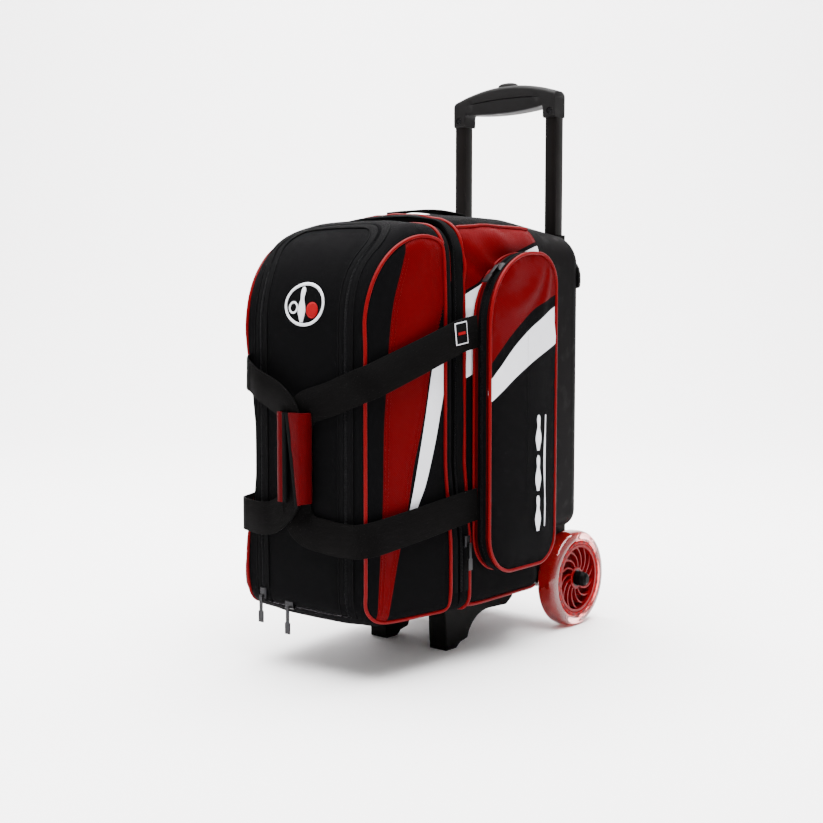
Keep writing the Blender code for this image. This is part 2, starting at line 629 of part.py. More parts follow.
# --- accessory pocket ---------------------------------------------------------------------------
POCKET_ARC_RADIUS = 0.088
POCKET_ARC_CENTRE = (POCKET_FRONT_Y + POCKET_ARC_RADIUS, POCKET_TOP_Z - POCKET_ARC_RADIUS)
POCKET_SLIDER_DEG = 52.0     # the pocket's slider, counted up its front arc
POCKET_PIVOT = (POCKET_FACE_X, POCKET_BACK_Y + 0.006, POCKET_LOW_Z)


def pocket_outline(grow):
    return rounded_outline(POCKET_FRONT_Y - grow, POCKET_LOW_Z - grow, POCKET_BACK_Y + grow,
                           POCKET_TOP_Z + grow,
                           (0.036 + grow, 0.038 + grow, POCKET_ARC_RADIUS + grow, 0.046 + grow), 7)


def make_pocket():
    """A gusset stands off the side panel and a zipped face closes it, hinged at its back edge."""
    base_x, seam_x = HALF_WIDTH + GAP, POCKET_FACE_X - 0.0054
    outer, inner = pocket_outline(-0.001), pocket_outline(-0.001 - CLOTH)
    rings = [[(base_x, y, z) for y, z in outer], [(seam_x, y, z) for y, z in outer],
             [(seam_x, y, z) for y, z in inner], [(base_x, y, z) for y, z in inner]]
    add_object("pocket_gusset", loft(rings, closed=True), RED_CLOTH)
    face = pocket_outline(-0.001)
    faces = [[(x, y, z) for y, z in face] for x in (seam_x + GAP, POCKET_FACE_X)]
    add_object("pocket_door", loft(faces), BLACK_CLOTH, POCKET_PIVOT)
    stand = PIPING_RADIUS + GAP - 0.001
    loop = [(POCKET_FACE_X - PIPING_RADIUS, y, z) for y, z in pocket_outline(stand)]
    add_object("pocket_piping", piping(loop), RED_PIPING, POCKET_PIVOT)


# --- handles of webbing and moulded grips -------------------------------------------------------
def rear_handle_run():
    """The rear handle's path: round the moulded back's corners, standing off its middle."""
    centre_x, centre_y, corner, z = 0.0852, BACK_Y - 0.028, 0.028, 0.4635
    half = []
    for degrees, stand in ((24, GAP), (34, 0.0016), (45, 0.0034), (57, 0.0044), (70, 0.0052),
                           (83, 0.0062)):
        turn = math.radians(degrees)
        out = (math.cos(turn), math.sin(turn), 0)
        reach = corner + stand
        half.append(((centre_x + reach * out[0], centre_y + reach * out[1], z), (0, 0, 1), out))
    half += [((x, BACK_Y + bow, z), (0, 0, 1), (0, 1, 0))
             for x, bow in ((0.064, 0.0085), (0.040, 0.0105), (0.020, 0.0115))]
    middle = ((0.0, BACK_Y + 0.0118, z), (0, 0, 1), (0, 1, 0))
    mirrored = [((-at[0], at[1], at[2]), across, (-out[0], out[1], 0))
                for at, across, out in half]
    return mirrored + [middle] + half[::-1]


def make_grab_handles():
    top = []
    for i in range(13):
        t = i / 12
        lift = 0.0045 * math.sin(math.pi * t)
        y = -0.238 + 0.120 * t
        top.append(((0.0, y, SEAM_Z + 0.0180 + 0.003 * t + lift), (1, 0, 0), (0, 0, 1)))
    add_object("top_handle", ribbon(top, 0.030, 0.003), WEBBING)
    add_object("rear_grab_handle", ribbon(rear_handle_run(), 0.028, 0.003), WEBBING)


STRAP_SIDE_X = HALF_WIDTH + 0.0055
STRAP_FRONT_Y = FRONT_Y - 0.0100
STRAP_PIVOT_Z = 0.293
STRAP_SEWN_Y = -0.2378       # where the carry straps are sewn to the sides


def strap_leg(side_z, bend_z, front_z):
    """Half of a carry strap: from its sewn end round the lid's corner to the front."""
    lean_side = Vector((0.0, 0.0, 1.0))
    taper = (FRONT_HALF_WIDTH + 0.004 - STRAP_SIDE_X) / (FRONT_Y - LID_Y)
    stations = [((STRAP_SIDE_X, STRAP_SEWN_Y, side_z), lean_side, (1, 0, 0)),
                ((STRAP_SIDE_X + 0.0008, LID_Y - 0.002, side_z - 0.002), lean_side, (1, -0.1, 0))]
    corner_x, corner_y, radius = 0.086, FRONT_Y + 0.0105, 0.0207
    start_z = side_z + 0.45 * (bend_z - side_z)
    mid_y = (LID_Y + corner_y) / 2
    mid_x = STRAP_SIDE_X + taper * (mid_y - LID_Y) + 0.0015
    stations.append(((mid_x, mid_y, start_z), lean_side, (1, -0.16, 0)))
    for angle in (12, 35, 60, 82):
        a = math.radians(angle)
        stations.append(((corner_x + radius * math.cos(a), corner_y - radius * math.sin(a),
                          bend_z - 0.01 * angle / 90), lean_side, (math.cos(a), -math.sin(a), 0)))
    stations.append(((0.045, STRAP_FRONT_Y - 0.0022, (bend_z + front_z) / 2 - 0.004), lean_side,
                     (0, -1, 0)))
    return stations


def make_carry_straps():
    """A webbing loop from each side meets the other in front, held by a padded wrap."""
    for side, sign in (("left", -1), ("right", 1)):
        layer = 0.0 if side == "right" else 0.0034
        upper = strap_leg(0.395, 0.352, 0.312)
        lower = strap_leg(0.192, 0.181, 0.196)
        turn_x = -0.005 if side == "right" else 0.009
        y = STRAP_FRONT_Y - layer
        middle = [((turn_x + 0.010, y - 0.0010, 0.322), (-1, 0, 1), (0, -1, 0)),
                  ((turn_x, y - 0.0015, 0.300), (-1, 0, 0.1), (0, -1, 0)),
                  ((turn_x, y - 0.0015, 0.204), (-1, 0, -0.1), (0, -1, 0)),
                  ((turn_x + 0.010, y - 0.0010, 0.184), (-1, 0, -1), (0, -1, 0))]
        back = [(c, -Vector(w), o) for c, w, o in reversed(lower)]
        stations = [((sign * c[0], c[1], c[2]), (sign * w[0], w[1], w[2]), (sign * o[0], o[1], o[2]))
                    for c, w, o in upper + middle + back]
        pivot = (sign * STRAP_SIDE_X, STRAP_SEWN_Y, STRAP_PIVOT_Z)
        add_object("carry_strap_" + side, ribbon(stations, STRAP_WIDTH, STRAP_THICK), WEBBING, pivot)
    wrap_x, wrap_half, back_y = -0.007, 0.0275, STRAP_FRONT_Y + 0.0028
    outer = rounded_outline(wrap_x - wrap_half, WRAP_FRONT_Y, wrap_x + wrap_half, back_y,
                            (0.007, 0.004, 0.004, 0.007), 4)
    inner = rounded_outline(wrap_x - wrap_half + 0.0022, WRAP_FRONT_Y + 0.0022,
                            wrap_x + wrap_half - 0.0022, back_y - 0.0022,
                            (0.005, 0.002, 0.002, 0.005), 4)
    rings = [[(x, y, 0.199) for x, y in outer], [(x, y, 0.305) for x, y in outer],
             [(x, y, 0.305) for x, y in inner], [(x, y, 0.199) for x, y in inner]]
    pivot = (STRAP_SIDE_X, STRAP_SEWN_Y, STRAP_PIVOT_Z)
    add_object("grip_wrap", loft(rings, closed=True), RED_CLOTH, pivot)


# --- zips ---------------------------------------------------------------------------------------
def make_slider(name, centre, along, outward, hang):
    """A zip slider with a pull tab hanging from it."""
    c, a, o = Vector(centre), Vector(along).normalized(), Vector(outward).normalized()
    side = a.cross(o)
    corners = [(-0.5, -0.5), (0.5, -0.5), (0.5, 0.5), (-0.5, 0.5)]
    rings = [[c + o * depth + a * (0.013 * u) + side * (0.010 * scale * v) for u, v in corners]
             for depth, scale in ((0.0, 1.0), (0.0022, 1.0), (0.0036, 0.7))]
    add_object(name + "_slider", loft(rings), ZIP_METAL, centre)
    d = Vector(hang)
    d = (d - o * d.dot(o)).normalized()
    top = c + o * 0.0052 + d * 0.002
    pull = []
    for dist, half in ((0.0, 0.0024), (0.018, 0.0022), (0.019, 0.0038), (0.032, 0.0038)):
        at = top + d * dist
        across = d.cross(o).normalized()
        pull.append([at - across * half, at + across * half, at + across * half + o * 0.0016,
                     at - across * half + o * 0.0016])
    add_object(name + "_pull", loft(pull), ZIP_METAL, tuple(top))


def make_main_tape():
    """The toothed band that closes the lid, over both sides and the top."""
    tape_low, tape_high, tape_foot_z = 0.0014, 0.0028, 0.100
    outline = section(0.0, HALF_WIDTH, BASE_Z, SEAM_Z + 0.003, 0.018, SHOULDER, 0.011)
    points = [(HALF_WIDTH, 0.0, tape_foot_z)] + [p for p in outline if p[2] > tape_foot_z]
    points.append((-HALF_WIDTH, 0.0, tape_foot_z))
    y0, y1 = SHELL_FRONT_Y + 0.001, SHELL_FRONT_Y + 0.014
    rings = []
    for i, (x, _, z) in enumerate(points):
        before, after = points[max(i - 1, 0)], points[min(i + 1, len(points) - 1)]
        along = Vector((after[0] - before[0], after[2] - before[2])).normalized()
        out_x, out_z = along.y, -along.x
        rings.append([(x + out_x * h, y, z + out_z * h)
                      for h, y in ((tape_low, y0), (tape_low, y1), (tape_high, y1),
                                   (tape_high, y0))])
    add_object("main_zip_tape", loft(rings), ZIP_TAPE)


def make_zips():
    make_main_tape()
    down = (0, 0, -1)
    tape_y = SHELL_FRONT_Y + 0.0075
    make_slider("main_zip", (HALF_WIDTH + 0.0032, tape_y, 0.150), (0, 0, 1), (1, 0, 0), down)
    face_y = FRONT_Y - 0.0010
    make_slider("shoe_zip_a", (-DOOR_HALF_WIDTH, face_y, 0.0875), (0, 0, 1), (0, -1, 0), down)
    make_slider("shoe_zip_b", (-0.024, FRONT_Y + 0.0008, 0.0795), (1, 0, 0), (0, -1, 0), down)
    angle = math.radians(POCKET_SLIDER_DEG)
    out = (0.0, -math.cos(angle), math.sin(angle))
    reach = POCKET_ARC_RADIUS - 0.0006
    centre = ((HALF_WIDTH + POCKET_FACE_X) / 2, POCKET_ARC_CENTRE[0] + reach * out[1],
              POCKET_ARC_CENTRE[1] + reach * out[2])
    make_slider("pocket_zip", centre, (0, math.sin(angle), math.cos(angle)), out,
                (0, -0.55, -0.85))


make_lid()
make_rear_shell()
make_back()
make_cradles()
make_running_gear()
make_feet()
make_mast()
make_grip()
make_release()
make_pocket()
make_grab_handles()
make_carry_straps()
make_zips()
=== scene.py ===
"""Looks for the two-ball roller bowling bag: fabric, webbing, zips, piping, plastics and wheels.

Points are worked out in the bag's design frame (X = 0 the middle plane, Y = 0 the wheel axle,
Z = 0 the ground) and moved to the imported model's frame by ORIGIN. Sizes are in metres.
"""
import math

import bpy
import numpy as np
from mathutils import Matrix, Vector, noise
from mathutils.bvhtree import BVHTree


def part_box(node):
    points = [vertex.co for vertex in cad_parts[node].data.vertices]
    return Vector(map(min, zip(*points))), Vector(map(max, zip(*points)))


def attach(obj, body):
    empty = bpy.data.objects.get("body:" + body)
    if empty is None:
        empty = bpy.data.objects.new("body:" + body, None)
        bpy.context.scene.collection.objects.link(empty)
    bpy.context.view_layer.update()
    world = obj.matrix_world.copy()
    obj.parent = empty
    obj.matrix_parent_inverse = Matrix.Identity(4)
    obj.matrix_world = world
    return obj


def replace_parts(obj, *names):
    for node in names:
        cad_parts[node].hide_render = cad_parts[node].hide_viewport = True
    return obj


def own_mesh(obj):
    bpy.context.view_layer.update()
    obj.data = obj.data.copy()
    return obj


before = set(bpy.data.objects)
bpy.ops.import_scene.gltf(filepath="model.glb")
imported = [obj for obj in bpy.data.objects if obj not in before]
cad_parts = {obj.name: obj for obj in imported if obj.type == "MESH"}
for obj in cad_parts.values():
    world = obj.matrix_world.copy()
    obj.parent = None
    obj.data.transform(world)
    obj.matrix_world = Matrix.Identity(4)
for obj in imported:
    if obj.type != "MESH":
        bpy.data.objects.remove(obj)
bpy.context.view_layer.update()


def span(node):
    """Lowest and highest corner of a CAD node, in the design frame."""
    low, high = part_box(node)
    return np.array(low) - ORIGIN, np.array(high) - ORIGIN


axle_low, axle_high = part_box("wheel_axle")
ORIGIN = np.array([(axle_low[0] + axle_high[0]) / 2, (axle_low[1] + axle_high[1]) / 2, 0.0])

SHELL_LOW, SHELL_HIGH = span("rear_shell")
LID_LOW, LID_HIGH = span("lid_shell")
DOOR_LOW, DOOR_HIGH = span("shoe_door")
TRAY_LOW, TRAY_HIGH = span("back_tray")
POCKET_LOW, POCKET_HIGH = span("pocket_door")
WRAP_LOW, WRAP_HIGH = span("grip_wrap")
WHEEL_LOW, WHEEL_HIGH = span("wheel_tyre_right")
HUB_LOW, HUB_HIGH = span("wheel_hub_right")

HALF_WIDTH = SHELL_HIGH[0]
BASE_Z = SHELL_LOW[2]
SHELL_FRONT_Y, SHELL_BACK_Y = SHELL_LOW[1], SHELL_HIGH[1]
LID_BACK_Y, FRONT_Y = LID_HIGH[1], LID_LOW[1]
SEAM_Z = LID_HIGH[2] - 0.002         # shoulder height of the fabric, under its crown
FRONT_HALF_WIDTH = 0.0945
SHOULDER = 0.034                     # radius where the sides turn into the top
CLOTH = 0.004
LID_ARC_DEPTH, LID_ARC_HEIGHT = 0.100, 0.112
LID_LOW_RADIUS = 0.028
DOOR_HALF_WIDTH, DOOR_SHOULDER = 0.066, DOOR_HIGH[0]
DOOR_LOW_Z, DOOR_TOP_Y = DOOR_LOW[2], DOOR_HIGH[1]
DOOR_CORNER = 0.034
ZIP_BAND = 0.013                     # width of the tape on each side of the main zip
LID_SEAM_Y = LID_BACK_Y - ZIP_BAND   # corded seam in front of the main zip
SHELL_SEAM_Y = SHELL_FRONT_Y + 0.0175
PIPING_RADIUS = 0.0021
TUBE_HALF_SIDE, TUBE_CORNER = 0.0085, 0.0006   # sliding tubes of the pull handle
RING_COUNT = 360


# --- node materials -----------------------------------------------------------------------------
class Look:
    """A Principled material with short ways to add nodes to it."""

    def __init__(self, name, colour, roughness, metallic=0.0, **sockets):
        self.mat = bpy.data.materials.new(name)
        self.mat.use_nodes = True
        self.tree = self.mat.node_tree
        self.shader = self.tree.nodes["Principled BSDF"]
        self.set(self.shader, 0, (*colour, 1.0))
        self.set(self.shader, "Roughness", roughness)
        self.set(self.shader, "Metallic", metallic)
        self.colour = (*colour, 1.0)
        for key, value in sockets.items():
            self.set(self.shader, key.replace("_", " "), value)
        texture = self.node("ShaderNodeTexCoord")
        self.at, self.normal = texture.outputs["Object"], texture.outputs["Normal"]

    def set(self, node, key, value):
        socket = node.inputs[key]
        if isinstance(value, bpy.types.NodeSocket):
            self.tree.links.new(value, socket)
        else:
            socket.default_value = value

    def node(self, kind, inputs=None, **settings):
        node = self.tree.nodes.new(kind)
        for key, value in settings.items():
            setattr(node, key, value)
        for key, value in (inputs or {}).items():
            self.set(node, key, value)
        return node

    def math(self, operation, a, b=0.0, c=0.0, clamp=False):
        return self.node("ShaderNodeMath", {0: a, 1: b, 2: c}, operation=operation,
                         use_clamp=clamp).outputs[0]

    def absolute(self, vector):
        return self.node("ShaderNodeVectorMath", {0: vector}, operation="ABSOLUTE").outputs[0]

    def axes(self, vector):
        return self.node("ShaderNodeSeparateXYZ", {0: vector}).outputs

    def combine(self, x, y, z=0.0):
        return self.node("ShaderNodeCombineXYZ", {0: x, 1: y, 2: z}).outputs[0]

    def pick(self, factor, a, b, kind="FLOAT"):
        """a where factor is 0, b where it is 1."""
        first = {"FLOAT": 2, "VECTOR": 4, "RGBA": 6}[kind]
        node = self.node("ShaderNodeMix", {0: factor, first: a, first + 1: b}, data_type=kind)
        return node.outputs[{"FLOAT": 0, "VECTOR": 1, "RGBA": 2}[kind]]

    def attribute(self, name):
        return self.node("ShaderNodeAttribute", attribute_name=name).outputs["Fac"]

    def step(self, value, low, high):
        """0 below low, 1 above high."""
        return self.node("ShaderNodeMapRange", {0: value, 1: low, 2: high},
                         interpolation_type="SMOOTHSTEP").outputs[0]

    def span(self, value, low, high, to_low, to_high):
        return self.node("ShaderNodeMapRange", {0: value, 1: low, 2: high, 3: to_low,
                                                4: to_high}).outputs[0]

    def noise(self, scale, detail=3.0, where=None, roughness=0.55):
        return self.node("ShaderNodeTexNoise", {"Vector": where or self.at, "Scale": scale,
                                                "Detail": detail, "Roughness": roughness}
                         ).outputs["Fac"]

    def tint(self, factor, low=0.8, high=1.2, colour=None):
        """The colour made darker and lighter by a factor from 0 to 1."""
        colour = colour or self.colour
        dark = tuple(low * c for c in colour[:3]) + (1.0,)
        light = tuple(min(high * c, 1.0) for c in colour[:3]) + (1.0,)
        return self.pick(factor, dark, light, "RGBA")

    def flat_coords(self):
        """Coordinates in the plane that the surface faces, in metres."""
        x, y, z = self.axes(self.at)
        nx, ny, nz = self.axes(self.absolute(self.normal))
        faces_x = self.math("GREATER_THAN", nx, self.math("MAXIMUM", ny, nz))
        faces_z = self.math("GREATER_THAN", nz, self.math("MAXIMUM", nx, ny))
        plane = self.pick(faces_x, self.combine(x, z), self.combine(y, z), "VECTOR")
        return self.pick(faces_z, plane, self.combine(x, y), "VECTOR")

    def weave(self, pitch, where=None):
        """Height from 0 to 1 of a plain weave with that thread pitch."""
        u, v, _ = self.axes(where or self.flat_coords())
        turn = 2 * math.pi / pitch
        a = self.math("SINE", self.math("MULTIPLY", u, turn))
        b = self.math("SINE", self.math("MULTIPLY", v, turn))
        return self.span(self.math("MULTIPLY", a, b), -1.0, 1.0, 0.0, 1.0)

    def diamonds(self, pitch, where=None):
        """Height from 0 to 1 of a small diamond dobby weave."""
        u, v, _ = self.axes(where or self.flat_coords())
        turn = math.pi / pitch
        a = self.math("SINE", self.math("MULTIPLY", self.math("ADD", u, v), turn))
        b = self.math("SINE", self.math("MULTIPLY", self.math("SUBTRACT", u, v), turn))
        return self.math("ABSOLUTE", self.math("MULTIPLY", a, b))

    def bump(self, height, depth, strength=1.0):
        node = self.node("ShaderNodeBump", {"Strength": strength, "Distance": depth,
                                            "Height": height})
        self.set(self.shader, "Normal", node.outputs[0])

    def colour_by(self, socket):
        self.set(self.shader, 0, socket)

    def roughness_by(self, factor, low, high):
        self.set(self.shader, "Roughness", self.span(factor, 0.0, 1.0, low, high))


BLACK = (0.0014, 0.0014, 0.0016)
RED = (0.066, 0.0002, 0.0012)
WHITE = (0.58, 0.585, 0.62)


def panel_look(name):
    """Black polyester, red satin and white satin, told apart by the red and white distances."""
    look = Look(name, BLACK, 0.8, Specular_IOR_Level=0.016, Sheen_Weight=0.002, Sheen_Roughness=0.4)
    plane = look.flat_coords()
    plain, dobby = look.weave(0.0011, plane), look.diamonds(0.0026, plane)
    patches, broad = look.noise(60.0), look.noise(9.0)
    red = look.step(look.attribute("red"), -0.00035, 0.00035)
    white = look.step(look.attribute("white"), -0.00035, 0.00035)
    shade = look.math("MULTIPLY_ADD", patches, 0.5, look.math("MULTIPLY", plain, 0.5))
    black_colour = look.tint(shade, 0.62, 1.5)
    satin = look.math("MULTIPLY_ADD", dobby, 0.6, look.math("MULTIPLY", broad, 0.4))
    red_colour = look.tint(satin, 0.68, 1.18, (*RED, 1.0))
    white_colour = look.tint(shade, 0.88, 1.1, (*WHITE, 1.0))
    colour = look.pick(red, black_colour, red_colour, "RGBA")
    look.colour_by(look.pick(white, colour, white_colour, "RGBA"))
    shiny = look.math("MAXIMUM", red, white)
    rough = look.pick(shiny, look.span(patches, 0, 1, 0.72, 0.92),
                      look.span(dobby, 0, 1, 0.52, 0.36))
    look.set(look.shader, "Roughness", rough)
    height = look.pick(red, plain, dobby)
    creases = look.math("MULTIPLY", look.noise(38.0, 2.0), 1.6)
    look.bump(look.math("ADD", height, creases), 0.00028, 0.7)
    return look.mat


def cloth_look(name, colour, roughness, pitch, dobby=False, low=0.65, high=1.4, gloss=0.025):
    look = Look(name, colour, roughness, Specular_IOR_Level=gloss, Sheen_Weight=0.004,
                Sheen_Roughness=0.4)
    thread = look.diamonds(pitch) if dobby else look.weave(pitch)
    patches = look.noise(70.0)
    look.colour_by(look.tint(look.math("MULTIPLY_ADD", patches, 0.5,
                                       look.math("MULTIPLY", thread, 0.5)), low, high))
    look.roughness_by(patches, roughness - 0.1, roughness + 0.1)
    look.bump(look.math("MULTIPLY_ADD", look.noise(42.0, 2.0), 1.5, thread), 0.00025, 0.7)
    return look.mat


def webbing_look(name, colour):
    """Ribbed webbing: fine ribs across the run with a warp line along each edge."""
    look = Look(name, colour, 0.75, Specular_IOR_Level=0.02, Sheen_Weight=0.003, Sheen_Roughness=0.4)
    run = look.node("ShaderNodeUVMap", uv_map="run").outputs[0]
    u, v, _ = look.axes(run)
    ribs = look.math("ABSOLUTE", look.math("SINE", look.math("MULTIPLY", u, math.pi / 0.0016)))
    warps = look.math("ABSOLUTE", look.math("SINE", look.math("MULTIPLY", v, math.pi / 0.0024)))
    height = look.math("MULTIPLY_ADD", ribs, 0.65, look.math("MULTIPLY", warps, 0.35))
    patches = look.noise(90.0)
    look.colour_by(look.tint(look.math("MULTIPLY_ADD", patches, 0.4,
                                       look.math("MULTIPLY", height, 0.6)), 0.55, 1.5))
    look.roughness_by(patches, 0.65, 0.85)
    look.bump(height, 0.00035, 0.8)
    return look.mat


def plastic_look(name, colour, roughness, grain=900.0, depth=0.00008, coat=0.0, gloss=0.12):
    """Moulded plastic with fine grain, slight colour drift and rubbed, shinier patches."""
    look = Look(name, colour, roughness, Specular_IOR_Level=gloss, Coat_Weight=coat,
                Coat_Roughness=0.2)
    drift, fine = look.noise(14.0, 4.0), look.noise(grain, 2.0)
    look.colour_by(look.tint(drift, 0.75, 1.3))
    rubbed = look.step(look.noise(45.0, 5.0), 0.52, 0.72)
    look.roughness_by(rubbed, roughness + 0.06, roughness - 0.10)
    look.bump(fine, depth, 0.6)
    return look.mat


def metal_look(name, colour, roughness, along=2):
    """Metal with fine drawn lines along one axis."""
    look = Look(name, colour, roughness, 1.0)
    x, y, z = look.axes(look.at)
    parts = [x, y, z]
    parts[along] = look.math("MULTIPLY", parts[along], 0.03)
    lines = look.noise(1800.0, 2.0, look.combine(*parts))
    drift = look.noise(25.0)
    look.colour_by(look.tint(drift, 0.8, 1.15))
    look.roughness_by(look.math("MULTIPLY_ADD", lines, 0.5, look.math("MULTIPLY", drift, 0.5)),
                      roughness - 0.08, roughness + 0.12)
    look.bump(lines, 0.00004, 0.5)
    return look.mat


PANEL = panel_look("panel_cloth")
BLACK_CLOTH = cloth_look("black_polyester", BLACK, 0.82, 0.0011)
RED_SATIN = cloth_look("red_satin", (0.046, 0.0002, 0.0010), 0.5, 0.0026, True, 0.55, 1.35,
                       0.02)
WHITE_THREAD = cloth_look("white_embroidery", WHITE, 0.55, 0.0012, False, 0.85, 1.1, 0.2)
RED_THREAD = cloth_look("red_embroidery", (0.17, 0.002, 0.004), 0.5, 0.0012)
BLACK_WEBBING = webbing_look("black_webbing", (0.0014, 0.0013, 0.0013))
BINDING = webbing_look("black_binding", (0.0022, 0.0022, 0.0023))
RED_PIPING = plastic_look("red_piping", (0.092, 0.0005, 0.0016), 0.38, 500.0, 0.00012, gloss=0.05)
ZIP_COIL = plastic_look("zip_coil", (0.0040, 0.0040, 0.0044), 0.5, 700.0, gloss=0.03)
RED_STITCH = cloth_look("red_thread", (0.075, 0.0008, 0.0015), 0.5, 0.0006)
BLACK_PLASTIC = plastic_look("black_plastic", (0.0015, 0.0014, 0.0014), 0.42, gloss=0.03)
GRIP_PLASTIC = plastic_look("grip_plastic", (0.0060, 0.0057, 0.0058), 0.5, 1300.0, 0.00012, gloss=0.06)
BACK_PLASTIC = plastic_look("moulded_back", (0.0018, 0.0016, 0.0017), 0.6, 1100.0, 0.0001, gloss=0.025)
BOARD = plastic_look("polyethylene_board", (0.02, 0.02, 0.021), 0.6)
FOAM = cloth_look("foam_cover", (0.018, 0.018, 0.02), 0.9, 0.0016)
TUBE_METAL = metal_look("anodised_tube", (0.013, 0.0115, 0.0112), 0.38)
STEEL = metal_look("zinc_steel", (0.30, 0.30, 0.31), 0.32, 0)
ZIP_METAL = metal_look("dark_nickel", (0.016, 0.016, 0.017), 0.34)
RED_HUB = plastic_look("red_hub", (0.115, 0.0009, 0.0020), 0.34, 600.0, 0.00006, gloss=0.08)
RED_CORE = plastic_look("red_core", (0.20, 0.002, 0.004), 0.4, 600.0, 0.00006, gloss=0.05)
# Slot plates: a dark red used as painted shade in the core band's slot openings.
SLOT_PAINTED_SHADE = plastic_look("core_slot_painted_shade", (0.05, 0.003, 0.004), 0.5, 600.0)
# The hub's recessed web: the hub's red made darker, as painted shade in the recess between rim and
# boss.
RED_WEB_PAINTED_SHADE = plastic_look("red_web_painted_shade", (0.045, 0.0006, 0.0010), 0.45, 600.0, gloss=0.04)


# --- mesh building ------------------------------------------------------------------------------
def unit(v):
    v = np.asarray(v, float)
    return v / np.maximum(np.linalg.norm(v, axis=-1, keepdims=True), 1e-9)


def make_object(name, verts, faces, look, body, fields=None, run=None, smooth=60):
    """A mesh object from design-frame points, riding on a body."""
    mesh = bpy.data.meshes.new(name)
    mesh.from_pydata((np.asarray(verts) + ORIGIN).tolist(), [], [tuple(map(int, f)) for f in faces])
    for key, values in (fields or {}).items():
        layer = mesh.attributes.new(key, "FLOAT", "POINT")
        layer.data.foreach_set("value", np.asarray(values, np.float32))
    if run is not None:
        layer = mesh.uv_layers.new(name="run")
        corners = np.zeros(len(mesh.loops), np.int32)
        mesh.loops.foreach_get("vertex_index", corners)
        layer.data.foreach_set("uv", np.asarray(run, np.float32)[corners].ravel())
    mesh.materials.append(look)
    mesh.shade_smooth()
    mesh.set_sharp_from_angle(angle=math.radians(smooth))
    ob = bpy.data.objects.new(name, mesh)
    bpy.context.scene.collection.objects.link(ob)
    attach(ob, body)
    return ob


def grid_faces(rows, columns, close_rows=False, close_columns=False):
    """Quads of a grid of points stored row by row."""
    i = np.arange(rows if close_rows else rows - 1)
    j = np.arange(columns if close_columns else columns - 1)
    a, b = np.meshgrid(i, j, indexing="ij")
    c, d = (a + 1) % rows, (b + 1) % columns
    return np.stack([a * columns + b, a * columns + d, c * columns + d, c * columns + b],
                    -1).reshape(-1, 4)


def resample(points, count, closed=False):
    """Points spaced evenly along a line."""
    points = np.asarray(points, float)
    if closed:
        points = np.vstack([points, points[:1]])
    gaps = np.linalg.norm(np.diff(points, axis=0), axis=1)
    at = np.concatenate([[0.0], np.cumsum(gaps)])
    wanted = np.linspace(0.0, at[-1], count + 1)[:-1] if closed else np.linspace(0.0, at[-1], count)
    return np.stack([np.interp(wanted, at, points[:, k]) for k in range(3)], -1)


def rounded(points, count, closed=False, passes=2):
    """A smooth line near the given points, by corner cutting, spaced evenly."""
    points = np.asarray(points, float)
    for _ in range(passes):
        after = np.roll(points, -1, axis=0)
        a, b = 0.75 * points + 0.25 * after, 0.25 * points + 0.75 * after
        cut = np.stack([a, b], 1).reshape(-1, 3)
        points = cut if closed else np.vstack([points[:1], cut[:-2], points[-1:]])
    return resample(points, count, closed)


def frames(path, normals, closed=False):
    """Unit tangents, normals and sideways directions along a path."""
    if closed:
        along = unit(np.roll(path, -1, axis=0) - np.roll(path, 1, axis=0))
    else:
        along = unit(np.gradient(path, axis=0))
    normals = np.broadcast_to(np.asarray(normals, float), path.shape)
    normals = unit(normals - along * np.sum(normals * along, -1, keepdims=True))
    return along, normals, np.cross(along, normals)


def sweep(name, path, normals, outline, look, body, slot=None, closed=False, scale=None,
          smooth=60):
    """A cross-section of (sideways, outward) points carried along a path."""
    path, outline = np.asarray(path, float), np.asarray(outline, float)
    _, out, side = frames(path, normals, closed)
    if scale is None:
        scale = np.ones(len(path))
    rings = (path[:, None] + side[:, None] * outline[None, :, :1] * scale[:, None, None]
             + out[:, None] * outline[None, :, 1:] * scale[:, None, None])
    rows, columns = rings.shape[:2]
    faces = grid_faces(rows, columns, closed, True).tolist()
    if not closed:
        faces += [list(range(columns))[::-1], list(range((rows - 1) * columns, rows * columns))]
    length = np.concatenate([[0.0], np.cumsum(np.linalg.norm(np.diff(path, axis=0), axis=1))])
    run = np.stack([np.repeat(length, columns), np.tile(outline[:, 0], rows)], -1)
    verts = rings.reshape(-1, 3)
    if volume(verts, faces) < 0:
        faces = [f[::-1] for f in faces]
    return make_object(name, verts, faces, look, body, run=run, smooth=smooth)


def volume(verts, faces):
    """Signed volume of a closed mesh of convex faces."""
    total = 0.0
    for f in faces:
        a = verts[f[0]]
        for i in range(1, len(f) - 1):
            total += float(np.dot(a, np.cross(verts[f[i]], verts[f[i + 1]])))
    return total


def circle(radius, sides=10):
    turn = np.arange(sides) * 2 * math.pi / sides
    return np.stack([radius * np.cos(turn), radius * np.sin(turn)], -1)


def strip(width, low, high, edge=0.0004):
    """Cross-section of a flat band with softened edges."""
    w = width / 2
    return [(-w, low + edge), (-w + edge, low), (w - edge, low), (w, low + edge), (w, high - edge),
            (w - edge, high), (-w + edge, high), (-w, high - edge)]


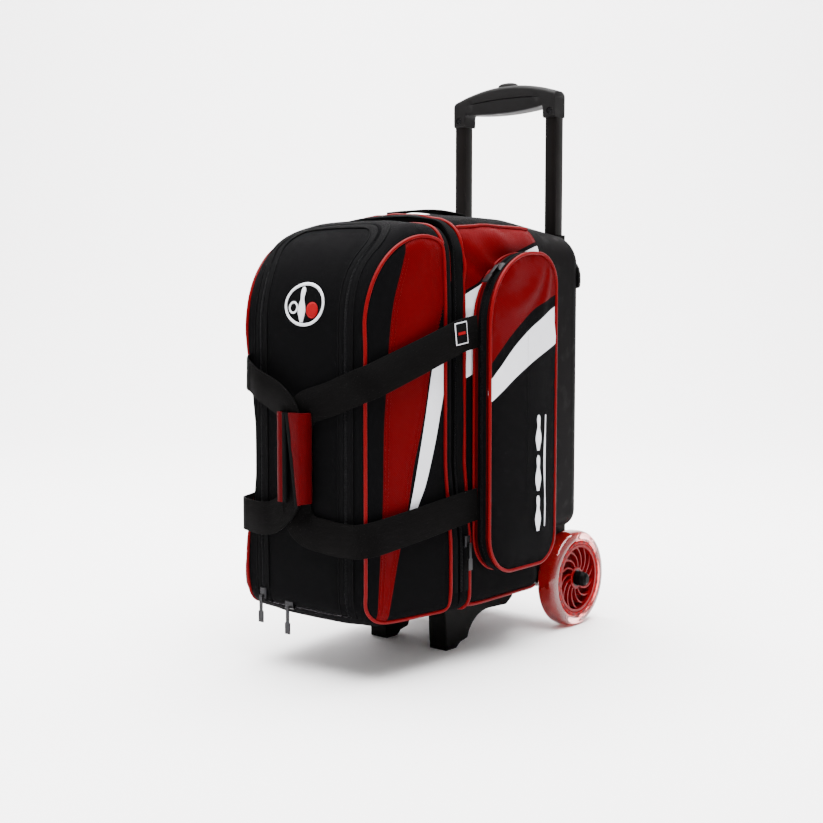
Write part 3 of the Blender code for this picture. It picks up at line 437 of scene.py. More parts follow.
def stitches(name, runs, look, body, pitch=0.0042, length=0.0028, radius=0.00038):
    """Rows of short threads, one for each stitch, along (path, normals) runs."""
    sides, verts, faces = 5, [], []
    ring = circle(1.0, sides)
    for path, normals in runs:
        total = np.linalg.norm(np.diff(path, axis=0), axis=1).sum()
        count = max(int(total / pitch), 2)
        centres = resample(path, count)
        outs = unit(resample(np.broadcast_to(normals, np.shape(path)), count))
        along, out, side = frames(centres, outs)
        for c, a, o, s in zip(centres, along, out, side):
            start = len(verts)
            for t, r, lift in ((-0.5, 0.35, -0.3), (-0.3, 1.0, 0.5), (0.3, 1.0, 0.5),
                               (0.5, 0.35, -0.3)):
                middle = c + a * (t * length) + o * (radius * lift)
                verts += [middle + radius * r * (s * u + o * v) for u, v in ring]
            faces += (grid_faces(4, sides, False, True) + start).tolist()
            faces += [list(range(start, start + sides))[::-1],
                      list(range(start + 3 * sides, start + 4 * sides))]
    return make_object(name, verts, faces, look, body, smooth=80)


def zip_coil(name, path, normals, body, lift, closed=False, radius=0.0017):
    """The nylon coil of a zip: a low ridge with a tooth every 1.6 mm."""
    total = np.linalg.norm(np.diff(path, axis=0), axis=1).sum()
    fine = int(total / 0.0004)
    path, normals = resample(path, fine), unit(resample(normals, fine))
    pulse = 0.82 + 0.18 * np.cos(np.arange(fine) * 2 * math.pi * 0.0004 / 0.0016)
    outline = [(u * 1.35, v * 0.55 + lift) for u, v in circle(radius, 8)]
    return sweep(name, path, normals, outline, ZIP_COIL, body, "zip_tape", closed, pulse)


# --- distances on flat patterns -----------------------------------------------------------------
def polygon_distance(p, polygon):
    """Signed distance from 2-D points to a polygon, positive inside it."""
    p, polygon = np.asarray(p, float), np.asarray(polygon, float)
    best = np.full(len(p), 1e9)
    inside = np.zeros(len(p), bool)
    for a, b in zip(polygon, np.roll(polygon, -1, axis=0)):
        edge = b - a
        t = np.clip(((p - a) @ edge) / max(edge @ edge, 1e-12), 0, 1)
        best = np.minimum(best, np.linalg.norm(p - a - t[:, None] * edge, axis=1))
        crosses = (a[1] > p[:, 1]) != (b[1] > p[:, 1])
        with np.errstate(divide="ignore", invalid="ignore"):
            at = (b[0] - a[0]) * (p[:, 1] - a[1]) / (b[1] - a[1]) + a[0]
        inside ^= crosses & (p[:, 0] < at)
    return np.where(inside, best, -best)


def smooth_line(points, count=60):
    flat = [(u, v, 0.0) for u, v in points]
    return rounded(flat, count)[:, :2]


def line_distance(p, line):
    """Unsigned distance from 2-D or 3-D points to a polyline."""
    p, line = np.asarray(p, float), np.asarray(line, float)
    best = np.full(len(p), 1e9)
    for a, b in zip(line, line[1:]):
        edge = b - a
        t = np.clip(((p - a) @ edge) / max(edge @ edge, 1e-12), 0, 1)
        best = np.minimum(best, np.linalg.norm(p - a - t[:, None] * edge, axis=1))
    return best


# --- the fabric body's surface ------------------------------------------------------------------
def arc(u, v, radius_u, radius_v, start, sweep_angle, steps=16):
    turn = np.radians(start + sweep_angle * np.arange(steps + 1) / steps)
    return np.stack([u + radius_u * np.cos(turn), v + radius_v * np.sin(turn)], -1)


def section(y, half, low, top, low_r, top_r, crown, count=RING_COUNT):
    """The bag's cross-section at depth y, evenly spaced from the middle of its underside."""
    points = np.vstack([[(0.0, low)], arc(half - low_r, low + low_r, low_r, low_r, -90, 90),
                        arc(half - top_r, top - top_r, top_r, top_r, 0, 90),
                        np.stack([np.linspace(half - top_r, top_r - half, 21)[1:-1],
                                  np.full(19, top)], -1),
                        arc(top_r - half, top - top_r, top_r, top_r, 90, 90),
                        arc(low_r - half, low + low_r, low_r, low_r, 180, 90)])
    x, z = points[:, 0], points[:, 1]
    z = z + crown * (1 - (x / half) ** 2) * (z - low) / (top - low)
    ring = np.stack([x, np.full(len(x), y), z], -1)
    return resample(ring, count, closed=True)


def lid_shape(y):
    """Half width, top height, bottom height and shoulder radius of the lid at depth y."""
    fall = np.clip((FRONT_Y + LID_ARC_DEPTH - y) / LID_ARC_DEPTH, 0, 1)
    low_fall = np.clip((FRONT_Y + LID_LOW_RADIUS - y) / LID_LOW_RADIUS, 0, 1)
    taper = np.clip((LID_BACK_Y - y) / (LID_BACK_Y - FRONT_Y), 0, 1)
    half = HALF_WIDTH + (FRONT_HALF_WIDTH - HALF_WIDTH) * taper
    top = SEAM_Z - 0.004 - LID_ARC_HEIGHT * (1 - np.sqrt(np.maximum(1 - fall ** 2, 0)))
    low = BASE_Z + 0.001 + LID_LOW_RADIUS * (1 - np.sqrt(np.maximum(1 - low_fall ** 2, 0)))
    return half, top, low, SHOULDER - 0.022 * taper


def lid_ring(y, inset):
    """One outline of the lid at depth y, drawn in by inset for the inner face of its cloth."""
    half, top, low, radius = lid_shape(y)
    fall = np.clip((FRONT_Y + LID_ARC_DEPTH - y) / LID_ARC_DEPTH, 0, 1)
    shift = inset * (0.5 + 0.5 * fall)
    return section(y + shift, half - inset, low + inset, top - inset, 0.014, radius, 0.006)


def fill_end(ring, steps=34):
    """Rings that shrink from an outline to the middle line of the face that closes it."""
    middle = (ring.min(0) + ring.max(0)) / 2
    reach = (ring.max(0) - ring.min(0)) / 2
    core, across = (ring - middle) * 0.004, max(reach[0], reach[1])
    core[:, 2] = np.clip(ring[:, 2] - middle[2], across - reach[2], reach[2] - across) * 0.98
    return [ring + (middle + core - ring) * (i / steps) for i in range(1, steps + 1)]


def lid_rings(inset, back_y):
    arc_start = FRONT_Y + LID_ARC_DEPTH
    depths = list(np.linspace(back_y, arc_start, 14)[:-1])
    depths += [arc_start - LID_ARC_DEPTH * math.sin(math.radians(90 * i / 40)) for i in range(41)]
    rings = [lid_ring(y, inset) for y in depths]
    return rings + fill_end(rings[-1])


def wall(name, outer, inner, look, body, closed_end, relief=None, fields=None, shift=None):
    """A fabric wall between two sets of rings.

    relief moves the outer face in or out, shift moves both faces, and fields are worked out
    where the points were before either.
    """
    outer, inner = np.array(outer), np.array(inner)
    plain = [outer, inner]
    face, back = outer.reshape(-1, 3), inner.reshape(-1, 3)
    if relief:
        face = face + relief(face, grid_normals(outer).reshape(-1, 3))
    if shift:
        face, back = face + shift(outer.reshape(-1, 3)), back + shift(back)
    outer, inner = face.reshape(outer.shape), back.reshape(inner.shape)
    columns = outer.shape[1]
    if closed_end:
        rings = np.concatenate([outer[::-1], inner])
        plain = np.concatenate([plain[0][::-1], plain[1]])
        faces = grid_faces(len(rings), columns, False, True).tolist()
        first = list(range(columns))
        last = list(range((len(rings) - 1) * columns, len(rings) * columns))
        faces += [first[::-1], last]
    else:
        rings = np.concatenate([outer, inner[::-1]])
        plain = np.concatenate([plain[0], plain[1][::-1]])
        faces = grid_faces(len(rings), columns, True, True).tolist()
    verts = rings.reshape(-1, 3)
    if volume(verts, faces) < 0:
        faces = [f[::-1] for f in faces]
    values = {key: rule(plain.reshape(-1, 3)) for key, rule in (fields or {}).items()}
    return make_object(name, verts, faces, look, body, values)


def grid_normals(rings):
    """Outward normals of rings of points that run round the bag."""
    along = np.gradient(rings, axis=0)
    around = np.roll(rings, -1, axis=1) - np.roll(rings, 1, axis=1)
    normals = unit(np.cross(around, along))
    middle = rings.reshape(-1, 3).mean(0)
    if np.sum(normals * (rings - middle)) < 0:
        normals = -normals
    return normals


def cut(ob, cutter_verts, cutter_faces, operation):
    """Boolean with a plain block, applied."""
    mesh = bpy.data.meshes.new("cutter")
    mesh.from_pydata((np.asarray(cutter_verts) + ORIGIN).tolist(), [],
                     [tuple(map(int, f)) for f in cutter_faces])
    cutter = bpy.data.objects.new("cutter", mesh)
    bpy.context.scene.collection.objects.link(cutter)
    modifier = ob.modifiers.new("cut", "BOOLEAN")
    modifier.operation, modifier.object, modifier.solver = operation, cutter, "MANIFOLD"
    bpy.context.view_layer.update()
    done = bpy.data.meshes.new_from_object(ob.evaluated_get(bpy.context.evaluated_depsgraph_get()))
    ob.modifiers.clear()
    ob.data = done
    bpy.data.objects.remove(cutter)


def surface_tree(*obs):
    """Ray casting against pieces, in the design frame."""
    verts, faces = [], []
    for ob in obs:
        start = len(verts)
        verts += [Vector(v.co) - Vector(ORIGIN) for v in ob.data.vertices]
        faces += [[start + i for i in p.vertices] for p in ob.data.polygons]
    return BVHTree.FromPolygons(verts, faces)


def lay_on(tree, starts, directions, lift=0.0, reach=0.2):
    """Points and outward normals where rays meet a surface; lifted off it."""
    points, normals = [], []
    for start, direction in zip(starts, np.broadcast_to(directions, np.shape(starts))):
        hit, normal, _, _ = tree.ray_cast(Vector(start), Vector(direction), reach)
        if hit is None:
            hit, normal, _, _ = tree.find_nearest(Vector(start))
        if normal.dot(Vector(direction)) > 0:
            normal = -normal
        points.append(np.array(hit) + np.array(normal) * lift)
        normals.append(np.array(normal))
    return np.array(points), unit(normals)


# --- lid: shoe compartment ----------------------------------------------------------------------
def mm(*pairs):
    return [(u / 1000, v / 1000) for u, v in pairs]


RED_WEDGE = smooth_line(mm((-336, 512), (-347, 478), (-363, 434), (-370, 389), (-374, 331),
                           (-378, 283), (-379, 202), (-382, 153), (-386, 88), (-386, 60)))
RED_WEDGE = np.vstack([RED_WEDGE, smooth_line(mm(
    (-370, 60), (-371, 76), (-363, 118), (-354, 156), (-343, 198), (-335, 247), (-319, 296),
    (-306, 362), (-291, 400), (-278, 430), (-255, 470), (-255, 520)))])
WHITE_BLADE = smooth_line(mm((-288, 395), (-302, 362), (-313, 313), (-328, 247), (-339, 201),
                             (-348, 178)), 40)
WHITE_BLADE = np.vstack([WHITE_BLADE, smooth_line(mm(
    (-338, 180), (-326, 203), (-315, 222), (-298, 268), (-289, 298), (-276, 330), (-270, 395)),
    40)])
LID_SEAM_DEG, TOP_SEAM_DEG = 34.0, 68.0   # how far up the shoulder the corded seams run
# Distance of the ball compartment's upper seam from the middle plane.
TOP_SEAM_X = HALF_WIDTH - SHOULDER + SHOULDER * math.cos(math.radians(TOP_SEAM_DEG))


def lid_seam_guess(sign):
    """Points and outward directions along the corded seam of one side panel."""
    turn = math.radians(LID_SEAM_DEG)
    starts, outs = [], []
    bend = np.sin(np.linspace(0, math.pi / 2, 22))
    top_y = LID_SEAM_Y + (FRONT_Y - LID_SEAM_Y) * bend
    for y in top_y:
        half, top, _, radius = lid_shape(y)
        starts.append((half - radius + radius * math.cos(turn), y,
                       top - radius + radius * math.sin(turn) + 0.002))
        outs.append((math.cos(turn), -0.45 * (LID_BACK_Y - y) / 0.135, math.sin(turn)))
    high, low = starts[-1][2], BASE_Z + 0.034
    for z in np.linspace(high - 0.006, low, 22):
        starts.append((FRONT_HALF_WIDTH - 0.001, FRONT_Y, z))
        outs.append((0.7, -0.7, 0.0))
    for y in top_y[::-1][1:]:
        half, _, base, _ = lid_shape(y)
        starts.append((half - 0.004, y, base + 0.004))
        outs.append((0.7, -0.25 * (LID_BACK_Y - y) / 0.135, -0.7))
    for z in np.linspace(BASE_Z + 0.018, starts[0][2] - 0.014, 24):
        starts.append((HALF_WIDTH, LID_SEAM_Y, z))
        outs.append((1.0, 0.0, 0.0))
    starts, outs = with_lean(starts), unit(outs)
    return starts * (sign, 1, 1), outs * (sign, 1, 1)


ZIP_Y = SHELL_FRONT_Y + 0.0005


def waist(p):
    """How the sides draw in and lean forward along the main zip, more towards the top."""
    height = np.clip((p[:, 2] - 0.150) / 0.09, 0, 1)
    depth = 0.0080 * height + 0.0030 * np.clip((p[:, 2] - 0.430) / 0.06, 0, 1)
    reach = np.where(p[:, 1] < ZIP_Y, 0.040, 0.034)
    near = np.exp(-((p[:, 1] - ZIP_Y) / reach) ** 2)
    across = np.clip(np.abs(p[:, 0]) / HALF_WIDTH, 0, 1)
    sag = (np.where(p[:, 1] < ZIP_Y, 0.0, np.exp(-((p[:, 1] - ZIP_Y) / 0.07) ** 2))
           * np.clip((across - 0.35) / 0.5, 0, 1) * np.clip((p[:, 2] - 0.44) / 0.06, 0, 1))
    return np.stack([-np.sign(p[:, 0]) * depth * near * across ** 2,
                     -0.0035 * height * near * across, -0.0055 * sag], -1)


def with_lean(starts):
    """Ray starts moved to follow the lean and sag of the cloth near the zip."""
    starts = np.array(starts, float)
    return starts + waist(starts) * (0, 1, 0)


def side_mask(p):
    """Positive on the lid's side panels, negative on its top, front and base."""
    half, _, _, radius = lid_shape(p[:, 1])
    turn = math.radians(LID_SEAM_DEG)
    edge = half - radius + radius * math.cos(turn)
    return np.minimum(np.abs(p[:, 0]) - edge, p[:, 1] - FRONT_Y - 0.001)


def lid_red(p):
    return np.minimum(side_mask(p), polygon_distance(p[:, 1:], RED_WEDGE))


def lid_white(p):
    return np.minimum(side_mask(p), polygon_distance(p[:, 1:], WHITE_BLADE))


def ripple(p, scale, seed):
    """Smooth noise from -1 to 1 at points."""
    return np.array([noise.noise(Vector(q * scale + seed)) for q in p])


def fan_folds(y, z, corner, count, reach, spread):
    """Soft folds that fan out from a corner where the cloth is gathered."""
    away_y, away_z = y - corner[0], corner[1] - z
    far = np.hypot(away_y, away_z)
    turn = np.arctan2(away_z, away_y)
    waves = np.sin(turn * count + 2.2 * np.sin(far * 38 + turn * 3))
    return waves * np.exp(-((far - reach) / spread) ** 2)


def puckers(p, seam, seed):
    """Small gathers in the cloth beside a seam."""
    return 0.0009 * ripple(p, 95.0, seed) * np.exp(-(seam / 0.013) ** 2)


def lid_relief(p, n):
    """Padded panels between seams: pulled in along the seams, full in between, a little creased."""
    starts, _ = lid_seam_guess(1)
    mirrored = (p + waist(p) * (0, 1, 0)) * (np.sign(p[:, :1]) * (1, 0, 0) + (0, 1, 1))
    seam = line_distance(mirrored, np.vstack([starts, starts[:1]]))
    fullness = 0.0030 * (1 - np.exp(-seam / 0.022)) - 0.0007 * np.exp(-(seam / 0.004) ** 2)
    side = np.clip(side_mask(p) / 0.01, 0, 1)
    creases = 0.0006 * ripple(p * (1, 1, 0.45), 26.0, 3.1) * np.exp(-seam / 0.05)
    creases = creases + puckers(p, seam, 5.2) * np.clip((p[:, 2] - 0.25) / 0.1, 0.35, 1)
    folds = fan_folds(p[:, 1], p[:, 2], (-0.300, 0.520), 15.0, 0.10, 0.06)
    creases = creases + side * 0.0012 * folds
    broad = 0.0008 * ripple(p, 11.0, 7.7)
    back = np.clip((LID_SEAM_Y - p[:, 1]) / 0.012, 0, 1)
    door_x = np.clip((DOOR_HALF_WIDTH - np.abs(p[:, 0])) / 0.02, -1, 1)
    front = (1 - side) * 0.0012 * np.clip(door_x, 0, 1)
    return n * ((fullness + creases + broad + front) * back)[:, None]


def lid_shift(p):
    """The waist at the zip; the left front edge drawn in by the strap and full below it."""
    front = np.clip((-0.300 - p[:, 1]) / 0.06, 0, 1) * np.clip((-p[:, 0] - 0.079) / 0.012, 0, 1)
    pull = (0.0150 * np.exp(-((p[:, 2] - 0.255) / 0.10) ** 2)
            - 0.0075 * np.exp(-((p[:, 2] - 0.112) / 0.05) ** 2)) * front
    return waist(p) + np.stack([pull, 0 * pull, 0 * pull], -1)


def outer_only(rule, outer_count):
    """The rule on the outer face's points, which come first; well outside on the lining's."""
    def values(p):
        result = np.full(len(p), -0.05)
        result[:outer_count] = rule(p[:outer_count])
        return result
    return values


def door_block(grow):
    low, corner = DOOR_HALF_WIDTH + grow, DOOR_CORNER + grow
    right = np.vstack([[(low, FRONT_Y - 0.05), (low, FRONT_Y + 0.015)],
                       arc(DOOR_SHOULDER + grow - corner, DOOR_TOP_Y + grow - corner,
                           corner, corner, 0, 90, 14)])
    outline = np.vstack([right, (right * (-1, 1))[::-1]])
    count = len(outline)
    verts = [(x, y, z) for z in (DOOR_LOW_Z - grow, SEAM_Z + 0.06) for x, y in outline]
    faces = [[i, (i + 1) % count, count + (i + 1) % count, count + i] for i in range(count)]
    return verts, faces + [list(range(count))[::-1], list(range(count, 2 * count))]


outer, inner = lid_rings(0.0, LID_BACK_Y), lid_rings(CLOTH, LID_BACK_Y - CLOTH / 2)
fields = {"red": outer_only(lid_red, len(outer) * RING_COUNT),
          "white": outer_only(lid_white, len(outer) * RING_COUNT)}
lid_cloth = wall("lid_cloth", outer, inner, PANEL, "lid", True, lid_relief,
                 fields, lid_shift)
door_cloth = bpy.data.objects.new("shoe_door_cloth", lid_cloth.data.copy())
bpy.context.scene.collection.objects.link(door_cloth)
lid_tree = surface_tree(lid_cloth)
cut(lid_cloth, *door_block(0.0012), "DIFFERENCE")
cut(door_cloth, *door_block(0.0), "INTERSECT")
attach(door_cloth, "shoe_door")
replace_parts(lid_cloth, "lid_shell")
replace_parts(door_cloth, "shoe_door")


def door_line(inset):
    """Ray starts and directions along the shoe door's edge, moved in by inset."""
    low, corner = DOOR_HALF_WIDTH - inset, DOOR_CORNER - inset
    high, top_y = DOOR_SHOULDER - inset, DOOR_TOP_Y - inset
    right = [(low, FRONT_Y - 0.03, z) for z in np.linspace(DOOR_LOW_Z, SEAM_Z - 0.120, 40)]
    turn_y = top_y - corner
    rise = [(np.interp(y, (FRONT_Y + 0.015, turn_y), (low, high)), y) for y in FRONT_Y
            + (turn_y - FRONT_Y) * (1 - np.cos(np.linspace(0.15, math.pi / 2, 8)))]
    rise += [tuple(q) for q in arc(high - corner, turn_y, corner, corner, 0, 90, 16)[1:]]
    rise += [(x, top_y) for x in np.linspace(high - corner, 0, 8)[1:]]
    starts, ways = list(right), [(0.0, 1.0, 0.0)] * len(right)
    for x, y in rise:
        _, top, _, _ = lid_shape(y)
        u = (FRONT_Y + LID_ARC_DEPTH - y) / LID_ARC_DEPTH ** 2
        w = (top - (SEAM_Z - 0.004 - LID_ARC_HEIGHT)) / LID_ARC_HEIGHT ** 2
        out = unit((0.0, -max(u, 0.0), w + 1e-3))
        starts.append(np.array((x, y, top)) + 0.03 * out)
        ways.append(-out)
    starts, ways = np.array(starts), np.array(ways)
    flip = np.array((-1, 1, 1))
    return np.vstack([starts, (starts * flip)[::-1][1:]]), np.vstack([ways, ways[::-1][1:]])


def settle(points, passes=2):
    """Softens small jumps along a run of points, with its ends kept."""
    points = np.array(points)
    for _ in range(passes):
        points[1:-1] = 0.5 * points[1:-1] + 0.25 * (points[:-2] + points[2:])
    return points


def run_on(tree, starts, ways, lift=0.0, count=None, closed=False):
    """A settled run of points and normals laid on a surface."""
    points, normals = lay_on(tree, starts, ways, lift)
    points = settle(points)
    if count:
        points, normals = resample(points, count, closed), unit(resample(normals, count, closed))
    return points, unit(settle(normals))


edge_path, edge_out = run_on(lid_tree, *door_line(0.0), count=420)
sweep("shoe_zip_tape_lid", *run_on(lid_tree, *door_line(-0.0058), count=420),
      strip(0.0095, 0.0002, 0.0010), BLACK_CLOTH, "lid", "zip_tape")
sweep("shoe_zip_tape_door", *run_on(lid_tree, *door_line(0.0056), count=420),
      strip(0.0095, 0.0002, 0.0010), BLACK_CLOTH, "shoe_door", "zip_tape")
zip_coil("shoe_zip_coil", edge_path, edge_out, "lid", 0.0012)
for name, inset, body in (("shoe_zip_fold_lid", -0.0102, "lid"),
                          ("shoe_zip_fold_door", 0.0100, "shoe_door")):
    path, out = run_on(lid_tree, *door_line(inset), lift=0.0006, count=420)
    sweep(name, path, out, circle(0.0011, 8), BLACK_CLOTH, body, "black_polyester")

for side, sign in (("left", -1), ("right", 1)):
    starts, outs = lid_seam_guess(sign)
    path, out = lay_on(lid_tree, starts + outs * 0.03, -outs, PIPING_RADIUS * 0.6)
    path = resample(path, 300, True)
    for _ in range(10):
        path = 0.5 * path + 0.25 * (np.roll(path, 1, axis=0) + np.roll(path, -1, axis=0))
    path, out = resample(path, 420, True), unit(rounded(outs, 420, True))
    piping = sweep("lid_cord_" + side, path, out, circle(PIPING_RADIUS, 12), RED_PIPING, "lid",
                   "red_piping", True)
    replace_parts(piping, "lid_piping_" + side)
    rows = []
    for line, into in ((RED_WEDGE[:60], 1), (RED_WEDGE[60:], -1)):
        for inset in (0.0018, 0.0062):
            flat = line + (into * inset, 0.0)
            _, top, low, _ = lid_shape(flat[:, 0])
            flat = flat[(flat[:, 0] < LID_SEAM_Y - 0.004) & (flat[:, 1] < top - 0.024)
                        & (flat[:, 1] > low + 0.008)]
            starts = np.stack([np.full(len(flat), sign * 0.16), flat[:, 0], flat[:, 1]], -1)
            rows.append(run_on(lid_tree, starts, (-sign, 0, 0), 0.0001, 140))
    stitches("wedge_stitches_" + side, rows, RED_STITCH, "lid")

turns = np.radians(np.linspace(LID_SEAM_DEG, 90, 10))
over = [(HALF_WIDTH - SHOULDER + (SHOULDER + 0.03) * math.cos(t), LID_SEAM_Y,
         SEAM_Z - 0.004 - SHOULDER + (SHOULDER + 0.03) * math.sin(t)) for t in turns]
over += [(x, LID_SEAM_Y, SEAM_Z + 0.03) for x in np.linspace(HALF_WIDTH - SHOULDER, 0, 12)[1:]]
ways = [(-math.cos(t), 0, -math.sin(t)) for t in turns] + [(0, 0, -1)] * 11
over, ways = np.array(over), np.array(ways, float)
flip = np.array((-1, 1, 1))
over, ways = np.vstack([over, (over * flip)[::-1][1:]]), np.vstack([ways, (ways * flip)[::-1][1:]])
path, out = run_on(lid_tree, with_lean(over), ways, PIPING_RADIUS * 0.6, 220)
sweep("lid_top_cord", path, out, circle(PIPING_RADIUS, 12), RED_PIPING, "lid", "red_piping")


def band_line(y, low_z):
    """Ray starts and directions round the bag at depth y, from low on one side to the other."""
    ring = section(y, HALF_WIDTH, BASE_Z, SEAM_Z, 0.018, SHOULDER, 0.010)
    keep = ring[:, 2] > low_z
    ring = ring[keep]
    middle = np.stack([np.clip(ring[:, 0], SHOULDER - HALF_WIDTH, HALF_WIDTH - SHOULDER),
                       ring[:, 1], np.minimum(ring[:, 2], SEAM_Z - SHOULDER)], -1)
    out = unit(ring - middle)
    return with_lean(ring) + out * 0.02, -out


starts, ways = band_line((LID_SEAM_Y + LID_BACK_Y) / 2, 0.088)
sweep("main_zip_tape_lid", *run_on(lid_tree, starts, ways, count=400),
      strip(ZIP_BAND - 0.003, 0.0002, 0.0012), BLACK_CLOTH, "lid", "zip_tape")


# --- ball compartment ---------------------------------------------------------------------------
STRIPE_TOP = smooth_line(mm((-275, 418), (-255, 433), (-214, 462), (-187, 477), (-159, 489),
                            (-108, 503), (-80, 509)), 40)
SHELL_RED = np.vstack([STRIPE_TOP, mm((-80, 560), (-275, 560))])
SHELL_WHITE = np.vstack([STRIPE_TOP - (0.0, 0.0048),
                         smooth_line(mm((-80, 455), (-140, 440), (-190, 395), (-222, 352),
                                        (-238, 341), (-275, 326)), 40)])


def shell_ring(y, inset):
    t = (y - SHELL_FRONT_Y) / (SHELL_BACK_Y - SHELL_FRONT_Y)
    rise = np.interp(t, (0, 0.136, 0.505, 1), (0.002, 0.004, 0.002, 0.0))
    crown = np.interp(t, (0, 0.136, 0.505, 1), (0.010, 0.012, 0.016, 0.019))
    return section(y, HALF_WIDTH - inset, BASE_Z + inset, SEAM_Z + rise - inset, 0.018,
                   SHOULDER - inset, crown)


def shell_side(p):
    return np.minimum(np.abs(p[:, 0]) - TOP_SEAM_X, p[:, 1] - SHELL_SEAM_Y + 0.001)


def shell_relief(p, n):
    seam = np.minimum(np.abs(p[:, 1] - SHELL_SEAM_Y), 0.03)
    upper = p[:, 2] > SEAM_Z - 0.02
    seam = np.where(upper, np.minimum(seam, np.abs(np.abs(p[:, 0]) - TOP_SEAM_X)), seam)
    ends = (np.clip((SHELL_BACK_Y - p[:, 1]) / 0.01, 0, 1)
            * np.clip((p[:, 1] - SHELL_FRONT_Y) / 0.01, 0, 1))
    fullness = 0.0022 * (1 - np.exp(-seam / 0.012)) - 0.0006 * np.exp(-(seam / 0.004) ** 2)
    slant = p @ np.array([[1, 0, 0], [0, 0.75, 0.55], [0, 0.4, 1.0]])
    high = np.clip((p[:, 2] - 0.40) / 0.06, 0.25, 1)
    creases = (0.0012 * ripple(slant * (1, 1.0, 0.35), 34.0, 1.3) * high
               + puckers(p, seam, 2.6) * high)
    side = np.clip((np.abs(p[:, 0]) - TOP_SEAM_X) / 0.01, 0, 1)
    folds = fan_folds(p[:, 1], p[:, 2], (-0.262, 0.535), 11.0, 0.085, 0.055)
    creases = creases + side * 0.0017 * folds
    return n * ((fullness + creases) * ends)[:, None]


depths = np.linspace(SHELL_FRONT_Y, SHELL_BACK_Y, 60)
outer = [shell_ring(y, 0.0) for y in depths]
fields = {
    "red": outer_only(lambda p: np.minimum(shell_side(p), polygon_distance(p[:, 1:], SHELL_RED)),
                      len(outer) * RING_COUNT),
    "white": outer_only(lambda p: np.minimum(shell_side(p),
                                             polygon_distance(p[:, 1:], SHELL_WHITE)),
                        len(outer) * RING_COUNT)}
shell_cloth = wall("shell_cloth", outer, [shell_ring(y, CLOTH) for y in depths], PANEL, "bag_body",
                   False, shell_relief, fields, waist)
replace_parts(shell_cloth, "rear_shell")
shell_tree = surface_tree(shell_cloth)

starts, ways = band_line(SHELL_SEAM_Y, -1.0)
path, out = lay_on(shell_tree, starts, ways, PIPING_RADIUS * 0.6)
path, out = rounded(path, 500, True), unit(rounded(-ways, 500, True))
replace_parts(sweep("rear_cord", path, out, circle(PIPING_RADIUS, 12), RED_PIPING, "bag_body",
                  "red_piping", True), "rear_piping")
starts, ways = band_line((SHELL_FRONT_Y + SHELL_SEAM_Y) / 2 - 0.0005, 0.088)
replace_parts(sweep("main_zip_tape_body", *run_on(shell_tree, starts, ways, count=400),
                  strip(ZIP_BAND, 0.0002, 0.0012), BLACK_CLOTH, "bag_body", "zip_tape"),
            "main_zip_tape")
starts, ways = band_line(SHELL_FRONT_Y + 0.0012, 0.090)
zip_coil("main_zip_coil", *run_on(shell_tree, starts, ways, count=400), "bag_body", 0.0014)

for side, sign in (("left", -1), ("right", 1)):
    turn = math.radians(TOP_SEAM_DEG)
    ys = np.linspace(SHELL_SEAM_Y, SHELL_BACK_Y - 0.001, 60)
    for name, centre, way in (
            ("top_cord_" + side, (HALF_WIDTH - SHOULDER, SEAM_Z - SHOULDER),
             (math.cos(turn), math.sin(turn))),
            ("base_cord_" + side, (HALF_WIDTH - 0.018, BASE_Z + 0.018), (0.75, -0.66))):
        out = np.array((sign * way[0], 0.0, way[1]))
        reach = 0.06
        starts = np.stack([np.full(60, sign * (centre[0] + reach * way[0])), ys,
                           np.full(60, centre[1] + reach * way[1])], -1)
        sweep(name, *run_on(shell_tree, starts, -out, PIPING_RADIUS * 0.6, 160),
              circle(PIPING_RADIUS, 12), RED_PIPING, "bag_body", "red_piping")


# --- moulded back -------------------------------------------------------------------------------
TRAY_CORNER = 0.028


def tray_ring(y, pull_in, inset):
    back = (y - SHELL_BACK_Y) / (TRAY_HIGH[1] - SHELL_BACK_Y)
    return section(y - inset * max(back, 0.0), HALF_WIDTH - 0.004 * back - pull_in - inset,
                   TRAY_LOW[2] + 0.2 * pull_in + inset,
                   SEAM_Z - 0.003 * back - 0.75 * pull_in - inset, 0.022, SHOULDER,
                   0.019 * (1 - back))


def tray_rings(inset):
    front_y, bend_y = TRAY_LOW[1], TRAY_HIGH[1] - TRAY_CORNER
    rings = [tray_ring(y, 0.0, inset) for y in np.linspace(front_y, bend_y, 24)[:-1]]
    for angle in np.radians(np.linspace(0, 90, 16)):
        rings.append(tray_ring(bend_y + TRAY_CORNER * math.sin(angle),
                               TRAY_CORNER * (1 - math.cos(angle)), inset))
    return rings + fill_end(rings[-1])


tray = wall("moulded_back", tray_rings(0.0), tray_rings(0.003), BACK_PLASTIC, "bag_body",
            True)
for node in ("tube_cup_left", "tube_cup_right"):
    low, high = span(node)
    corners = [(x, y, z) for z in (TRAY_LOW[2] - 0.01, SEAM_Z + 0.05)
               for x, y in ((low[0] - 0.0006, low[1] - 0.0006), (high[0] + 0.0006, low[1] - 0.0006),
                            (high[0] + 0.0006, high[1] + 0.0006),
                            (low[0] - 0.0006, high[1] + 0.0006))]
    cut(tray, corners, [(0, 3, 2, 1), (4, 5, 6, 7), (0, 1, 5, 4), (1, 2, 6, 5), (2, 3, 7, 6),
                        (3, 0, 4, 7)], "DIFFERENCE")
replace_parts(tray, "back_tray")


# --- accessory pocket ---------------------------------------------------------------------------
POCKET_RED = np.vstack([smooth_line(mm((-90, 441), (-111, 436), (-153, 422), (-196, 394),
                                       (-226, 367), (-243, 347), (-262, 325)), 40),
                        mm((-262, 520), (-90, 520))])
POCKET_WHITE = np.vstack([
    smooth_line(mm((-90, 427), (-108, 422), (-153, 404), (-196, 376), (-226, 347), (-243, 330),
                   (-262, 308)), 40),
    smooth_line(mm((-262, 290), (-242, 308), (-220, 322), (-189, 342), (-152, 360), (-107, 377),
                   (-90, 382)), 40)])
POCKET_ARC = 0.088


